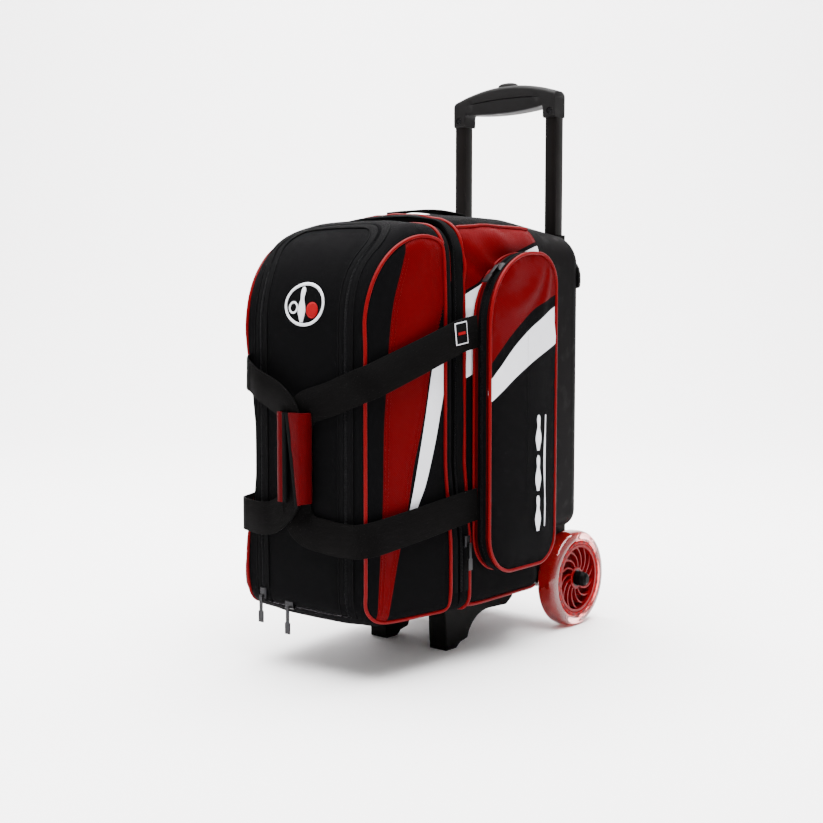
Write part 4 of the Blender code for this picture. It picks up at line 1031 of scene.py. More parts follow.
def pocket_line(grow, count=300):
    """The pocket's outline in (Y, Z), evenly spaced, from its lower back corner round the front."""
    low_r, high_r, arc_r, foot_r = 0.036 + grow, 0.038 + grow, POCKET_ARC + grow, 0.046 + grow
    u0, u1 = POCKET_LOW[1] - 0.001 - grow, POCKET_HIGH[1] + 0.001 + grow
    v0, v1 = POCKET_LOW[2] - 0.001 - grow, POCKET_HIGH[2] + 0.001 + grow
    points = np.vstack([arc(u0 + foot_r, v0 + foot_r, foot_r, foot_r, 270, -90),
                        arc(u0 + arc_r, v1 - arc_r, arc_r, arc_r, 180, -90),
                        arc(u1 - high_r, v1 - high_r, high_r, high_r, 90, -90),
                        arc(u1 - low_r, v0 + low_r, low_r, low_r, 0, -90)])
    return resample(np.column_stack([np.zeros(len(points)), points]), count, True)


def pocket_relief(p, n):
    edge = polygon_distance(p[:, 1:], pocket_line(0.0, 120)[:, 1:])
    lift = 0.0065 * (1 - np.exp(-np.maximum(edge, 0) / 0.024))
    high = np.clip((p[:, 2] - 0.36) / 0.05, 0.3, 1)
    creases = 0.0010 * ripple(p * (1, 1.1, 0.5), 30.0, 4.0) * high
    creases = creases + 0.0013 * fan_folds(-p[:, 1], p[:, 2], (0.118, 0.500), 9.0, 0.085, 0.05)
    creases = creases + puckers(p, np.maximum(edge, 0), 8.4)
    return np.array((1.0, 0.0, 0.0)) * (lift + creases)[:, None]


seam_x = POCKET_LOW[0] - 0.0004
base_x = HALF_WIDTH + 0.0004


def gusset_ring(x, grow):
    ring = pocket_line(grow)
    ring[:, 0] = x
    return ring


outer, inner = [], []
for t in np.linspace(0, 1, 12):
    x = base_x + (seam_x - base_x) * t
    outer.append(gusset_ring(x, -0.001 + 0.0016 * math.sin(math.pi * t)))
    inner.append(gusset_ring(x, -0.001 - CLOTH))
gusset = wall("pocket_gusset_cloth", outer, inner, RED_SATIN, "bag_body", False)
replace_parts(gusset, "pocket_gusset")
ring = gusset_ring(POCKET_HIGH[0] - 0.0012, -0.001)
outer = [gusset_ring(seam_x + 0.0004, -0.0014), gusset_ring(POCKET_HIGH[0] - 0.0030, -0.001), ring]
outer += fill_end(ring, 44)
inner = [gusset_ring(seam_x + 0.0004, -0.006)]
inner += fill_end(inner[0], 20)
fields = {"red": outer_only(lambda p: polygon_distance(p[:, 1:], POCKET_RED),
                            len(outer) * len(ring)),
          "white": outer_only(lambda p: polygon_distance(p[:, 1:], POCKET_WHITE),
                              len(outer) * len(ring))}
pocket_face = wall("pocket_face_cloth", outer, inner, PANEL, "pocket_door", True,
                   pocket_relief, fields)
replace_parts(pocket_face, "pocket_door")
pocket_tree = surface_tree(pocket_face)
loop = pocket_line(0.0004, 400)
loop[:, 0] = POCKET_HIGH[0] - 0.0010
middle = loop.mean(0)
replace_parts(sweep("pocket_cord", loop, unit((loop - middle) * (0, 1, 1)) + (1.0, 0, 0),
                  circle(PIPING_RADIUS, 12), RED_PIPING, "pocket_door", "red_piping", True),
            "pocket_piping")
loop = pocket_line(0.0006, 400)
loop[:, 0] = base_x + 0.0006
sweep("pocket_base_cord", loop, (1.0, 0, 0), circle(0.0017, 10), RED_PIPING, "bag_body",
      "red_piping", True)
loop = pocket_line(0.0, 400)
front = loop[:, 1] < POCKET_HIGH[1] - 0.012
order = np.argsort(np.where(front, np.arange(400), 1000))[:front.sum()]
loop = loop[order]
loop[:, 0] = seam_x - 0.0068
gaps = np.linalg.norm(np.diff(loop, axis=0), axis=1)
if gaps.max() > 0.02:
    loop = np.roll(loop, -int(gaps.argmax()) - 1, axis=0)
loop = resample(loop, 360)
out = np.cross(frames(loop, (1.0, 0, 0))[0], (1.0, 0, 0))
if np.sum(out * (loop - middle)) < 0:
    out = -out
sweep("pocket_zip_tape", loop, out, strip(0.0120, 0.0003, 0.0011), BLACK_CLOTH, "bag_body",
      "zip_tape")
zip_coil("pocket_zip_coil", loop, out, "bag_body", 0.0016)


# --- carry straps and their wrap ----------------------------------------------------------------
STRAP_HIGH = span("carry_strap_right")[1]
STRAP_X, STRAP_SEWN_Y, STRAP_Y = HALF_WIDTH + 0.0055, STRAP_HIGH[1], FRONT_Y - 0.0100
STRAP_WIDTH, STRAP_THICK = 0.038, 0.0022

# Heights at the side and the corner, then (x, z) points across the front.
UPPER_RUN = dict(side=(0.395, 0.391), corner=(0.348, 0.334),
                 front=((0.052, 0.322), (0.030, 0.316)),
                 end=((0.014, 0.311), (0.002, 0.296)))
LOWER_RUN = dict(side=(0.192, 0.190), corner=(0.172, 0.166),
                 front=((0.060, 0.166), (0.038, 0.168)),
                 end=((0.021, 0.170), (0.010, 0.175), (0.002, 0.184), (-0.001, 0.198)))
FAR_UPPER_RUN = dict(side=(0.395, 0.391), corner=(0.352, 0.342),
                     front=((0.060, 0.334), (0.040, 0.326)),
                     end=((0.020, 0.317), (0.004, 0.300)))
FAR_LOWER_RUN = dict(side=(0.192, 0.191), corner=(0.181, 0.180),
                     front=((0.062, 0.179), (0.040, 0.180)),
                     end=((0.020, 0.190), (0.004, 0.208)))


def strap_half(run, layer, tuck=0.0):
    """Centre line and outward directions from the sewn end to the wrap on the front."""
    (sewn_z, lid_z), (turn_z, leave_z) = run["side"], run["corner"]
    corner_x, corner_y, radius = 0.084 - tuck, FRONT_Y + 0.0125 - 0.4 * tuck, 0.0225 - 0.35 * tuck
    path = [(STRAP_X, STRAP_SEWN_Y, sewn_z), (STRAP_X + 0.0006, LID_BACK_Y - 0.004, lid_z)]
    outs = [(1, 0, 0), (1, -0.12, 0)]
    last = np.array((corner_x + radius, corner_y, turn_z))
    first = np.array(path[-1])
    for t in (0.2, 0.4, 0.6, 0.8):
        bow = 0.0015 * math.sin(math.pi * t)
        path.append(tuple(first + (last - first) * t + (bow, 0, 0)))
        outs.append((1, -0.16, 0))
    for angle in (8, 30, 52, 72, 86):
        a = math.radians(angle)
        path.append((corner_x + radius * math.cos(a), corner_y - radius * math.sin(a),
                     turn_z + (leave_z - turn_z) * angle / 90))
        outs.append((math.cos(a), -math.sin(a), 0))
    for x, z in run["front"] + run["end"]:
        path.append((x, STRAP_Y - layer - (0.0014 if x < 0.03 else 0.0), z))
        outs.append((0, -1, 0))
    return path, outs


straps = {}
for side, sign, layer, middle_x, upper_run, lower_run, tucks in (
        ("right", 1, 0.0, -0.003, UPPER_RUN, LOWER_RUN, (0.0, 0.0)),
        ("left", -1, 0.0034, 0.004, FAR_UPPER_RUN, FAR_LOWER_RUN, (0.0110, 0.0035))):
    upper, upper_out = strap_half(upper_run, layer, tucks[0])
    lower, lower_out = strap_half(lower_run, layer, tucks[1])
    centre = [(middle_x, STRAP_Y - layer - 0.0014, z) for z in (0.276, 0.250, 0.226)]
    path = np.array(upper + centre + lower[::-1]) * (sign, 1, 1)
    outs = np.array(upper_out + [(0, -1, 0)] * 3 + lower_out[::-1], float) * (sign, 1, 1)
    path, outs = rounded(path, 460, passes=3), unit(rounded(outs, 460, passes=3))
    strap = sweep("carry_strap_webbing_" + side, path, outs, strip(STRAP_WIDTH, 0.0, STRAP_THICK),
                  BLACK_WEBBING, "strap_" + side, "black_webbing")
    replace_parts(strap, "carry_strap_" + side)
    straps[side] = strap

wrap_x = (WRAP_LOW[0] + WRAP_HIGH[0]) / 2
wrap_back, wrap_front = WRAP_HIGH[1], WRAP_LOW[1]
turn = [(-0.0030, wrap_front + 0.0024), (-0.0120, wrap_front + 0.0018),
        (-0.0155, wrap_front + 0.006), (-0.0148, wrap_back - 0.0010),
        (-0.005, wrap_back), (0.010, wrap_back),
        (0.0262, wrap_back - 0.0010), (0.0272, wrap_front + 0.006), (0.0232, wrap_front + 0.0012),
        (0.0140, wrap_front + 0.0004), (0.0030, wrap_front + 0.0010)]
middle_line = rounded([(wrap_x + u, v, 0.0) for u, v in turn], 90)
along, _, across = frames(middle_line, (0, 0, 1.0))
thick = 0.0012 + 0.0011 * np.sin(np.linspace(0, math.pi, 90)) ** 0.4
offset = across * thick[:, None]
ring = np.vstack([middle_line + offset, (middle_line - offset)[::-1]])
heights = np.linspace(WRAP_LOW[2] + 0.004, WRAP_HIGH[2], 46)
flap = np.clip((np.arange(90) - 66) / 23, 0, 1) ** 1.5
flap = np.concatenate([flap, flap[::-1]])
rings = []
for z in heights:
    part = (z - WRAP_LOW[2]) / (WRAP_HIGH[2] - WRAP_LOW[2])
    slack = ring.copy()
    slack[:, 0] += flap * 0.0155 * (1 - part)
    slack[:, 2] = z - 0.005 * flap * (1 - part)
    rings.append(slack)
rings = np.array(rings)
flat = rings.reshape(-1, 3)
flat = flat + np.stack([0 * flat[:, 0], 0.0006 * ripple(flat, 60.0, 2.0), 0 * flat[:, 0]], -1)
faces = grid_faces(len(heights), rings.shape[1], False, True).tolist()
count = rings.shape[1]
for row, flip in ((0, True), (len(heights) - 1, False)):
    for i in range(89):
        quad = [row * count + i, row * count + i + 1, row * count + count - 2 - i,
                row * count + count - 1 - i]
        faces.append(quad[::-1] if flip else quad)
if volume(flat, faces) < 0:
    faces = [f[::-1] for f in faces]
wrap = make_object("grip_wrap_cloth", flat, faces, RED_SATIN, "strap_right")
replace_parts(wrap, "grip_wrap")
aside = [(wrap, 1)]
for name, index in (("wrap_binding_inner", 0), ("wrap_binding_outer", 89)):
    edge = np.array([(r[index] + r[count - 1 - index]) / 2 for r in rings])
    aside.append((sweep(name, edge, (0, -1, 0), strip(0.0060, -0.0022, 0.0022, 0.0010), BINDING,
                        "strap_right", "black_webbing"), 1))
aside += [(straps["right"], 1), (straps["left"], -1)]
for piece, sign in aside:
    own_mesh(piece)


# --- handles, sliders and pulls -----------------------------------------------------------------
low, high = span("top_handle")
path = [(0.0, y, z) for y, z in zip(np.linspace(low[1], high[1], 9),
                                    SEAM_Z + 0.0182 + np.linspace(0, 0.003, 9)
                                    + 0.0045 * np.sin(np.linspace(0, math.pi, 9)))]
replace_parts(sweep("top_handle_webbing", rounded(path, 120), (0, 0, 1.0), strip(0.030, 0.0, 0.003),
                  BLACK_WEBBING, "bag_body", "black_webbing"), "top_handle")
REAR_UP = 1                          # the side of the webbing that is its upper edge
low, high = span("rear_grab_handle")
handle_z, half_run, half_out = (low[2] + high[2]) / 2, [], []
for degrees, stand in ((24, 0.0004), (34, 0.0016), (45, 0.0034), (57, 0.0044), (70, 0.0052),
                       (83, 0.0062)):
    a = math.radians(degrees)
    half_out.append((math.cos(a), math.sin(a), 0.0))
    half_run.append((0.0852 + (0.028 + stand) * math.cos(a),
                     TRAY_HIGH[1] - 0.028 + (0.028 + stand) * math.sin(a), handle_z))
for x, bow in ((0.064, 0.0085), (0.040, 0.0105), (0.020, 0.0115)):
    half_run.append((x, TRAY_HIGH[1] + bow, handle_z))
    half_out.append((0.0, 1.0, 0.0))
half_run, half_out, flip = np.array(half_run), np.array(half_out), np.array((-1, 1, 1))
path = np.vstack([half_run * flip, [(0.0, TRAY_HIGH[1] + 0.0118, handle_z)], half_run[::-1]])
out = np.vstack([half_out * flip, [(0.0, 1.0, 0.0)], half_out[::-1]])
face = [(-0.0145, 0.0006), (-0.0130, 0.0026), (-0.0070, 0.0036), (0.0030, 0.0034), (0.0110, 0.0018),
        (0.0170, -0.0012), (0.0200, -0.0040)]
cupped = np.array(face + [(u, v - 0.0030) for u, v in face[::-1]])
rear_webbing = sweep("rear_grab_webbing", rounded(path, 160), unit(rounded(out, 160)),
                     cupped * (REAR_UP, 1), BLACK_WEBBING, "bag_body", "black_webbing")
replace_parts(rear_webbing, "rear_grab_handle")


def soften(node, look, width, segments=3, angle=35):
    """A carried-over CAD node with a new material and rounded edges."""
    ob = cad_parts[node]
    ob.data.materials.clear()
    ob.data.materials.append(look)
    ob.data.shade_smooth()
    ob.data.set_sharp_from_angle(angle=math.radians(40))
    if width:
        modifier = ob.modifiers.new("edges", "BEVEL")
        modifier.width, modifier.segments = width, segments
        modifier.limit_method, modifier.angle_limit = "ANGLE", math.radians(angle)
        modifier.harden_normals = False


for zip_name in ("main_zip", "shoe_zip_a", "shoe_zip_b", "pocket_zip"):
    soften(zip_name + "_slider", ZIP_METAL, 0.0005)
    soften(zip_name + "_pull", ZIP_METAL, 0.0003)
for side in ("left", "right"):
    soften("front_foot_" + side, BLACK_PLASTIC, 0.0006)
    soften("foot_screw_" + side, STEEL, 0.0003)
    soften("tube_cup_" + side, BLACK_PLASTIC, 0.0008)
    soften("outer_tube_" + side, TUBE_METAL, 0.0)
    soften("grip_screw_" + side, ZIP_METAL, 0.0003)
    soften("lock_rod_" + side, STEEL, 0.0)
    soften("axle_cap_" + side, BLACK_PLASTIC, 0.0010)
    soften("wheel_bearing_" + side, TUBE_METAL, 0.0003)
soften("wheel_axle", STEEL, 0.0004)
soften("mast_foot_bracket", BLACK_PLASTIC, 0.0004)
soften("wheel_housing", BLACK_PLASTIC, 0.0008, 2)
soften("release_bar", STEEL, 0.0003)
for node in ("base_board", "back_board", "lid_divider"):
    soften(node, BOARD, 0.0004, 1)
for node in ("ball_cradle_lower", "ball_cradle_upper"):
    soften(node, FOAM, 0.0010, 2)


# --- pull handle's grip -------------------------------------------------------------------------
GRIP_LOW, GRIP_HIGH = span("grip_bottom_shell")
GRIP_TOP_Z = span("grip_top_shell")[1][2] + 0.0008
GRIP_HALF, GRIP_DEEP = GRIP_HIGH[0], (GRIP_HIGH[1] - GRIP_LOW[1]) / 2
GRIP_Y = (GRIP_HIGH[1] + GRIP_LOW[1]) / 2
BLOCK_X = GRIP_HALF - 0.0190


def grip_ring(x):
    """Cross-section of the grip: domed top, a shallow groove along each side, flat underside."""
    part = abs(x) / GRIP_HALF
    top = GRIP_TOP_Z - 0.0148 * part ** 2
    if abs(x) > BLOCK_X:
        low = GRIP_LOW[2]
    else:
        low = GRIP_LOW[2] + 0.0118 + 0.0046 * (x / BLOCK_X) ** 2
        low -= 0.0055 * np.clip((abs(x) - BLOCK_X + 0.0035) / 0.0035, 0, 1) ** 2.5
    pull = 0.0009 * np.clip((abs(x) - GRIP_HALF + 0.002) / 0.002, 0, 1) ** 2
    deep, top = GRIP_DEEP - pull, top - pull
    groove = GRIP_TOP_Z - 0.0236 + 0.0056 * (1 - part ** 2)
    depth = 0.0014 * np.clip((BLOCK_X - 0.006 - abs(x)) / 0.008, 0, 1)
    right = np.vstack([[(0.0, low)], arc(deep - 0.003, low + 0.003, 0.003, 0.003, -90, 90, 5),
                       [(deep, groove - 0.0010), (deep - depth, groove - 0.0003),
                        (deep - depth, groove + 0.0003), (deep, groove + 0.0010)],
                       arc(deep - 0.0080, top - 0.0062, 0.0080, 0.0062, 0, 90, 9), [(0.0, top)]])
    ring = np.vstack([right, (right * (-1, 1))[::-1][1:-1]])
    return np.stack([np.full(len(ring), x), GRIP_Y + ring[:, 0], ring[:, 1]], -1)


half = [0.0, 0.008, 0.016, 0.024, 0.032, 0.040, 0.048, 0.054, 0.058, 0.0605, 0.0615, 0.0624, 0.0632,
        BLOCK_X, BLOCK_X + 0.0003, 0.068, 0.073, 0.078, GRIP_HALF - 0.0024, GRIP_HALF - 0.0012,
        GRIP_HALF - 0.0004, GRIP_HALF]
rings = np.array([grip_ring(x) for x in [-x for x in half[:0:-1]] + half])
faces = grid_faces(len(rings), rings.shape[1], False, True).tolist()
faces += [list(range(rings.shape[1]))[::-1],
          list(range((len(rings) - 1) * rings.shape[1], len(rings) * rings.shape[1]))]
if volume(rings.reshape(-1, 3), faces) < 0:
    faces = [f[::-1] for f in faces]
grip = make_object("pull_handle_grip", rings.reshape(-1, 3), faces, GRIP_PLASTIC, "handle",
                   smooth=42)
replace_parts(grip, "grip_bottom_shell", "grip_top_shell")
for side in ("left", "right"):
    low, high = span("grip_screw_" + side)
    well = arc((low[0] + high[0]) / 2, (low[2] + high[2]) / 2, 0.0043, 0.0043, 0, 360, 16)[:-1]
    cut(grip, [(x, y, z) for y in (GRIP_Y - 0.03, high[1] + 0.0002) for x, z in well],
        [list(range(16)), list(range(16, 32))[::-1]]
        + [[i, i + 16, (i + 1) % 16 + 16, (i + 1) % 16] for i in range(16)], "DIFFERENCE")
    low, high = span("inner_tube_" + side)
    middle = (low + high) / 2
    corner = arc(0, 0, TUBE_CORNER, TUBE_CORNER, 0, 90, 3) + TUBE_HALF_SIDE - TUBE_CORNER
    outline = []
    for quarter in range(4):
        cosine, sine = math.cos(quarter * math.pi / 2), math.sin(quarter * math.pi / 2)
        outline.extend(corner @ np.array([[cosine, sine], [-sine, cosine]]))
    tube = sweep("sliding_tube_" + side, [(middle[0], middle[1], z) for z in
                                          np.linspace(low[2], high[2], 24)], (0, -1.0, 0), outline,
                 TUBE_METAL, "handle", "anodised_tube", smooth=25)
    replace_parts(tube, "inner_tube_" + side)

low, high = span("release_button")
middle, reach = (low + high) / 2, (high - low) / 2
rings = []
turn = np.arange(40) * 2 * math.pi / 40
across = np.sign(np.cos(turn)) * np.abs(np.cos(turn)) ** 0.7
deep = np.sign(np.sin(turn)) * np.abs(np.sin(turn)) ** 0.7
dome = [(high[2] - 0.0042 + 0.0046 * math.sin(a), math.cos(a) ** 0.7)
        for a in np.linspace(0.15, 1.5, 9)]
for z, share in [(low[2], 1.0), (high[2] - 0.0042, 1.0)] + dome:
    rings.append(np.stack([middle[0] + reach[0] * share * across,
                           middle[1] + reach[1] * share * deep, np.full(40, z)], -1))
faces = grid_faces(len(rings), 40, False, True).tolist()
faces += [list(range(40))[::-1], list(range((len(rings) - 1) * 40, len(rings) * 40))]
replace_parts(make_object("thumb_button", np.vstack(rings), faces, GRIP_PLASTIC, "release",
                        smooth=50), "release_button")


# --- wheels -------------------------------------------------------------------------------------
TYRE = Look("clear_urethane", (0.95, 0.46, 0.44), 0.05, Transmission_Weight=0.95, IOR=1.48)
tread = TYRE.step(TYRE.axes(TYRE.absolute(TYRE.normal))[0], 0.97, 0.6)
TYRE.colour_by(TYRE.pick(tread, TYRE.tint(TYRE.noise(20.0, 3.0), 0.94, 1.03),
                         TYRE.tint(TYRE.noise(30.0, 3.0), 0.8, 1.1, (0.80, 0.085, 0.080, 1.0)),
                         "RGBA"))
TYRE.roughness_by(TYRE.noise(60.0, 4.0), 0.03, 0.14)
TYRE.bump(TYRE.noise(240.0, 2.0), 0.00005, 0.3)
wheel_z = WHEEL_HIGH[2] / 2
wheel_mid = (WHEEL_LOW[0] + WHEEL_HIGH[0]) / 2
half_tread = (WHEEL_HIGH[0] - WHEEL_LOW[0]) / 2
wheel_r = (WHEEL_HIGH[1] - WHEEL_LOW[1]) / 2
hub_r = (HUB_HIGH[1] - HUB_LOW[1]) / 2


def turned(name, profile, look, body, segments=96):
    """A closed (x, radius) profile turned about the wheel axle."""
    turns = np.arange(segments) * 2 * math.pi / segments
    rings = np.array([[(x, r * math.cos(a), wheel_z + r * math.sin(a)) for x, r in profile]
                      for a in turns])
    verts = rings.reshape(-1, 3)
    faces = grid_faces(segments, len(profile), True, True).tolist()
    if volume(verts, faces) < 0:
        faces = [f[::-1] for f in faces]
    return make_object(name, verts, faces, look, body, smooth=30)


BEARING_R = (span("wheel_bearing_right")[1][2] - span("wheel_bearing_right")[0][2]) / 2 + 0.0003
BOSS_R = BEARING_R + 0.0035


def wheel_fins(name, mid_x, inner_r, outer_r, half_x, body, count=14, steps=12):
    """Thin curved fins between the hub's boss and its rim."""
    verts, faces = [], []
    t = np.linspace(0, 1, steps)
    for k in range(count):
        turns = 2 * math.pi * k / count + 0.72 * t ** 1.4
        radii = inner_r + (outer_r - inner_r) * t
        line = np.stack([radii * np.cos(turns), radii * np.sin(turns)], -1)
        along = unit(np.gradient(line, axis=0))
        side = np.stack([along[:, 1], -along[:, 0]], -1) * (0.0007 + 0.0004 * t)[:, None]
        start = len(verts)
        for at, off in zip(line, side):
            for x, (y, z) in ((-half_x, at - off), (half_x, at - off), (half_x, at + off),
                              (-half_x, at + off)):
                verts.append((mid_x + x, y, wheel_z + z))
        strip_faces = grid_faces(steps, 4, False, True).tolist()
        strip_faces += [[0, 1, 2, 3][::-1], [4 * steps - 4 + i for i in range(4)]]
        if volume(np.array(verts[start:]), strip_faces) < 0:
            strip_faces = [f[::-1] for f in strip_faces]
        faces += [[start + i for i in f] for f in strip_faces]
    make_object(name, verts, faces, RED_HUB, body, smooth=30)


for side, sign in (("left", -1), ("right", 1)):
    core_r = hub_r + 0.0048
    outline = [(-half_tread + 0.003, core_r - 0.0008), (half_tread - 0.003, core_r - 0.0008)]
    outline += [(half_tread * math.cos(a) ** 0.55, core_r + 0.0020
                 + (wheel_r - core_r - 0.0020) * math.sin(a) ** 0.75)
                for a in np.linspace(0.02, math.pi / 2, 14)]
    outline += [(-x, r) for x, r in outline[2:-1][::-1]]
    profile = [(sign * (wheel_mid + x), r) for x, r in outline]
    tyre = turned("wheel_tread_" + side, profile, TYRE.mat, "wheel_" + side)
    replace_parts(tyre, "wheel_tyre_" + side)
    band = [(-half_tread + 0.0022, hub_r + 0.0003), (half_tread - 0.0022, hub_r + 0.0003),
            (half_tread - 0.0014, hub_r + 0.0012), (half_tread - 0.0014, core_r - 0.0012),
            (half_tread - 0.0026, core_r), (-half_tread + 0.0026, core_r),
            (-half_tread + 0.0014, core_r - 0.0012), (-half_tread + 0.0014, hub_r + 0.0012)]
    turned("wheel_core_band_" + side, [(sign * (wheel_mid + x), r) for x, r in band], RED_CORE,
           "wheel_" + side)
    # Dark plates on both faces of the core band where its slots are: painted shade in the slot
    # openings, not holes.
    verts, faces = [], []
    for k in range(24):
        centre_turn = 2 * math.pi * k / 24
        for face_x in (half_tread - 0.0012, -half_tread + 0.0012):
            start = len(verts)
            thick = math.copysign(0.0006, face_x)
            for x in (face_x, face_x - thick):
                for r, spread in ((hub_r + 0.0012, -1), (hub_r + 0.0012, 1), (core_r - 0.0010, 1),
                                  (core_r - 0.0010, -1)):
                    a = centre_turn + spread * 0.0026 / r
                    verts.append((sign * (wheel_mid + x),
                                  r * math.cos(a), wheel_z + r * math.sin(a)))
            faces += [[start + i for i in quad] for quad in (
                (0, 1, 2, 3), (7, 6, 5, 4), (0, 4, 5, 1), (1, 5, 6, 2), (2, 6, 7, 3), (3, 7, 4, 0))]
    make_object("wheel_slot_shade_plates_" + side, verts, faces, SLOT_PAINTED_SHADE, "wheel_" + side,
                smooth=20)
    rim_r, hub_half = hub_r - 0.0040, (HUB_HIGH[0] - HUB_LOW[0]) / 2
    # The web between boss and rim takes the darker red: painted shade in the hub's recess.
    for name, low_r, high_r, half_x, look in (
            ("rim", rim_r, hub_r, hub_half, RED_HUB),
            ("web", BOSS_R - 0.001, rim_r + 0.001, 0.0012, RED_WEB_PAINTED_SHADE),
            ("boss", BEARING_R, BOSS_R, hub_half - 0.002, RED_HUB)):
        edge = min(0.0008, half_x / 3)
        ring = [(-half_x, low_r), (half_x, low_r), (half_x, high_r - edge), (half_x - edge, high_r),
                (edge - half_x, high_r), (-half_x, high_r - edge)]
        part = turned("wheel_" + name + "_" + side, [(sign * (wheel_mid + x), r) for x, r in ring],
                      look, "wheel_" + side)
        if name == "rim":
            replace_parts(part, "wheel_hub_" + side)
    wheel_fins("wheel_fins_" + side, sign * wheel_mid, BOSS_R - 0.0006, rim_r + 0.0006,
               hub_half - 0.0030, "wheel_" + side)


# --- embroidery and label -----------------------------------------------------------------------
def pin_outline(height):
    """A bowling pin's silhouette, standing on (0, 0)."""
    half = [(0.0, 0.056), (0.08, 0.075), (0.30, 0.158), (0.46, 0.128), (0.62, 0.066), (0.70, 0.060),
            (0.80, 0.084), (0.90, 0.085), (0.97, 0.055), (1.0, 0.0)]
    right = [(w * height, h * height) for h, w in half]
    return smooth_line(right + [(-u, v) for u, v in right[-2::-1]], 60)


def decal(name, tree, place, way, shapes, look, body, lift=0.0003, thick=0.0007):
    """Raised thread in flat shapes (outline, hole or None), laid on a surface."""
    points_made, faces_made = [], []
    for shape, hole in shapes:
        rim = np.asarray(shape)
        if hole is not None:
            inner_rim = np.asarray(hole)
            rows = [rim, rim * 0.5 + inner_rim * 0.5, inner_rim]
        else:
            middle = rim.mean(0)
            rows = [middle + (rim - middle) * s for s in (1.0, 0.72, 0.42, 0.04)]
        starts = np.array([place(u, v) for u, v in np.vstack(rows)])
        low, normals = lay_on(tree, starts, way, lift)
        crest = np.ones(len(low))
        crest[:len(rim)] = 0.25
        if hole is not None:
            crest[-len(rim):] = 0.25
        count, base = len(rim), len(points_made)
        points_made += list(low + normals * (thick * crest)[:, None])
        faces_made += (grid_faces(len(rows), count, False, True) + base).tolist()
        if hole is None:
            faces_made.append([base + (len(rows) - 1) * count + i for i in range(count)])
    ob = make_object(name, np.array(points_made), faces_made, look, body, smooth=80)
    solid = ob.modifiers.new("thread", "SOLIDIFY")
    solid.thickness, solid.offset = 0.0004, 0.0
    return ob


def oval(u, v, radius_u, radius_v, count=56):
    turn = np.arange(count) * 2 * math.pi / count
    return np.stack([u + radius_u * np.cos(turn), v + radius_v * np.sin(turn)], -1)


EMBLEM_X, EMBLEM_Z = 0.0045, 0.4260


def front_place(u, v):
    return EMBLEM_X + u, FRONT_Y - 0.06, EMBLEM_Z + v


def pocket_place(u, v):
    return POCKET_HIGH[0] + 0.06, -0.143 + u, 0.150 + v


door_tree = surface_tree(door_cloth)
pin = pin_outline(0.040)
decal("emblem_white", door_tree, front_place, (0, 1.0, 0),
      [(oval(0, 0, 0.0305, 0.0245), oval(0, 0, 0.0272, 0.0212)), (pin + (-0.0035, -0.0200), None),
       (oval(-0.0165, -0.0035, 0.0070, 0.0070), oval(-0.0165, -0.0035, 0.0048, 0.0048))],
      WHITE_THREAD, "shoe_door")
decal("emblem_red", door_tree, front_place, (0, 1.0, 0),
      [(oval(0.0125, -0.0065, 0.0090, 0.0090), None)], RED_THREAD, "shoe_door")
pins = [(pin_outline(0.044) + (0.0, 0.0495 * k), None) for k in range(3)]
decal("pocket_pins", pocket_tree, pocket_place, (-1.0, 0, 0), pins, WHITE_THREAD, "pocket_door")
lane = np.array([(0.0150 + 0.0016 * math.sin(v * 55), v) for v in np.linspace(0.004, 0.142, 70)])
decal("pocket_line", pocket_tree, pocket_place, (-1.0, 0, 0),
      [(lane - (0.0011, 0), lane + (0.0011, 0))], WHITE_THREAD, "pocket_door")


def label_patch(name, half_u, half_v, proud, look):
    """A woven patch on the near end of the upper right carry strap."""
    x = STRAP_X + STRAP_THICK
    lean = math.radians(8)
    rim = [(u * math.cos(lean) - v * math.sin(lean), u * math.sin(lean) + v * math.cos(lean))
           for u, v in ((-half_u, -half_v), (half_u, -half_v), (half_u, half_v), (-half_u, half_v))]
    verts = [(x + h, -0.2705 + u, 0.3932 + v) for h in (0.0001, proud) for u, v in rim]
    return make_object(name, verts, [(0, 3, 2, 1), (4, 5, 6, 7), (0, 1, 5, 4), (1, 2, 6, 5),
                                     (2, 3, 7, 6), (3, 0, 4, 7)], look, "strap_right",
                       smooth=20)


label_patch("strap_label_border", 0.0112, 0.0128, 0.0007, WHITE_THREAD)
label_patch("strap_label_field", 0.0100, 0.0116, 0.0010, BLACK_CLOTH)
label_patch("strap_label_bar", 0.0066, 0.0016, 0.0013, RED_THREAD)


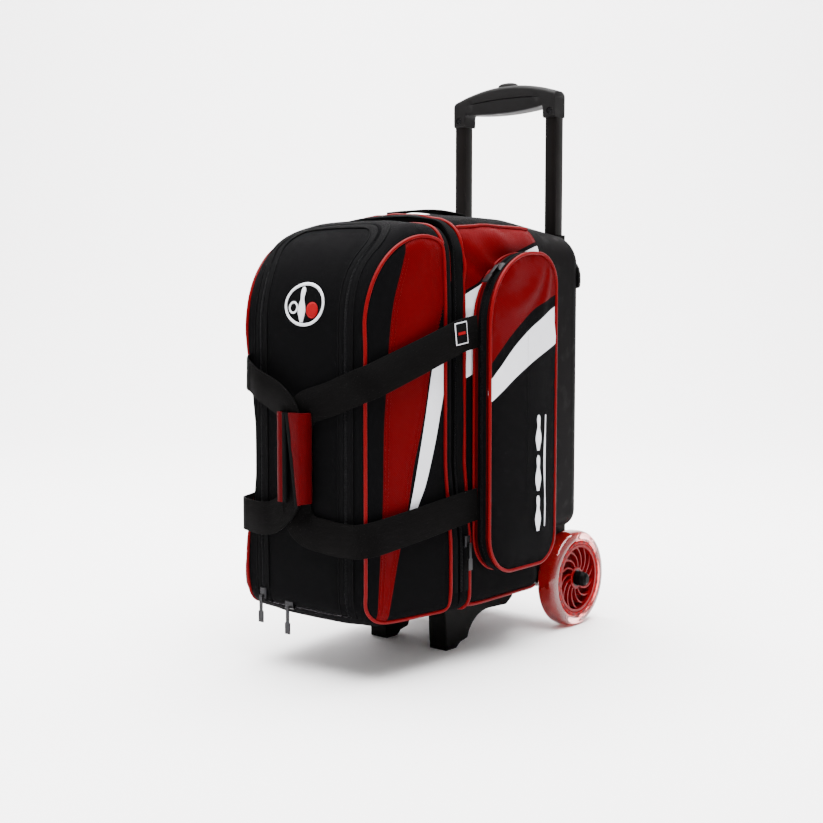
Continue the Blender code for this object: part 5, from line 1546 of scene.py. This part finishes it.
# --- stage, light and camera --------------------------------------------------------------------
floor_look = Look("studio_paper", (0.93, 0.915, 0.918), 0.8, Specular_IOR_Level=0.1)
floor_look.colour_by(floor_look.tint(floor_look.noise(1.4, 2.0), 0.985, 1.015))
size, bend, rise = 6.0, 1.6, 4.5
profile = [(-size, 0.0), (2.2, 0.0)]
profile += [(2.2 + bend * math.sin(a), bend * (1 - math.cos(a)))
            for a in np.linspace(0.1, math.pi / 2, 12)]
profile += [(2.2 + bend, rise)]
turn = math.radians(39.44)
across, back = np.array((math.cos(turn), math.sin(turn), 0)), np.array((-math.sin(turn),
                                                                      math.cos(turn), 0))
verts = [back * d + across * w + np.array((0, 0, z)) for d, z in profile for w in (-size, size)]
mesh = bpy.data.meshes.new("studio_floor")
mesh.from_pydata([tuple(v) for v in verts], [],
                 [(2 * i, 2 * i + 1, 2 * i + 3, 2 * i + 2) for i in range(len(profile) - 1)])
mesh.materials.append(floor_look.mat)
mesh.shade_smooth()
floor = bpy.data.objects.new("studio_floor", mesh)
bpy.context.scene.collection.objects.link(floor)

world = bpy.data.worlds.new("studio")
world.use_nodes = True
world.node_tree.nodes["Background"].inputs[0].default_value = (1.0, 0.985, 0.98, 1.0)
world.node_tree.nodes["Background"].inputs[1].default_value = 0.62
bpy.context.scene.world = world


def lamp(name, place, target, power, size_x, size_y, colour=(1.0, 1.0, 1.0)):
    light = bpy.data.lights.new(name, "AREA")
    light.energy, light.shape, light.size, light.size_y = power, "RECTANGLE", size_x, size_y
    light.color = colour
    ob = bpy.data.objects.new(name, light)
    ob.location = place
    ob.rotation_euler = (Vector(target) - Vector(place)).to_track_quat("-Z", "Y").to_euler()
    bpy.context.scene.collection.objects.link(ob)


centre = (0.0, 0.0, 0.3)
lamp("overhead", (0.2, -0.4, 2.9), centre, 500.0, 3.0, 2.6)
lamp("left_fill", (-2.2, -1.9, 1.6), centre, 8.0, 1.4, 1.6)
lamp("right_fill", (2.5, -0.2, 1.8), centre, 8.0, 1.4, 1.6)
backdrop = back * 3.4
lamp("backdrop", tuple(back * 1.4 + (0, 0, 3.6)), (backdrop[0], backdrop[1], 1.0), 560.0, 5.0, 1.4)

camera = bpy.data.cameras.new("camera")
camera.lens, camera.sensor_width = 55.12, 36.0
eye = bpy.data.objects.new("camera", camera)
eye.location = (0.99328, -1.24248, 0.41713)
eye.rotation_euler = (math.radians(85.5), 0.0, turn)
bpy.context.scene.collection.objects.link(eye)
bpy.context.scene.camera = eye
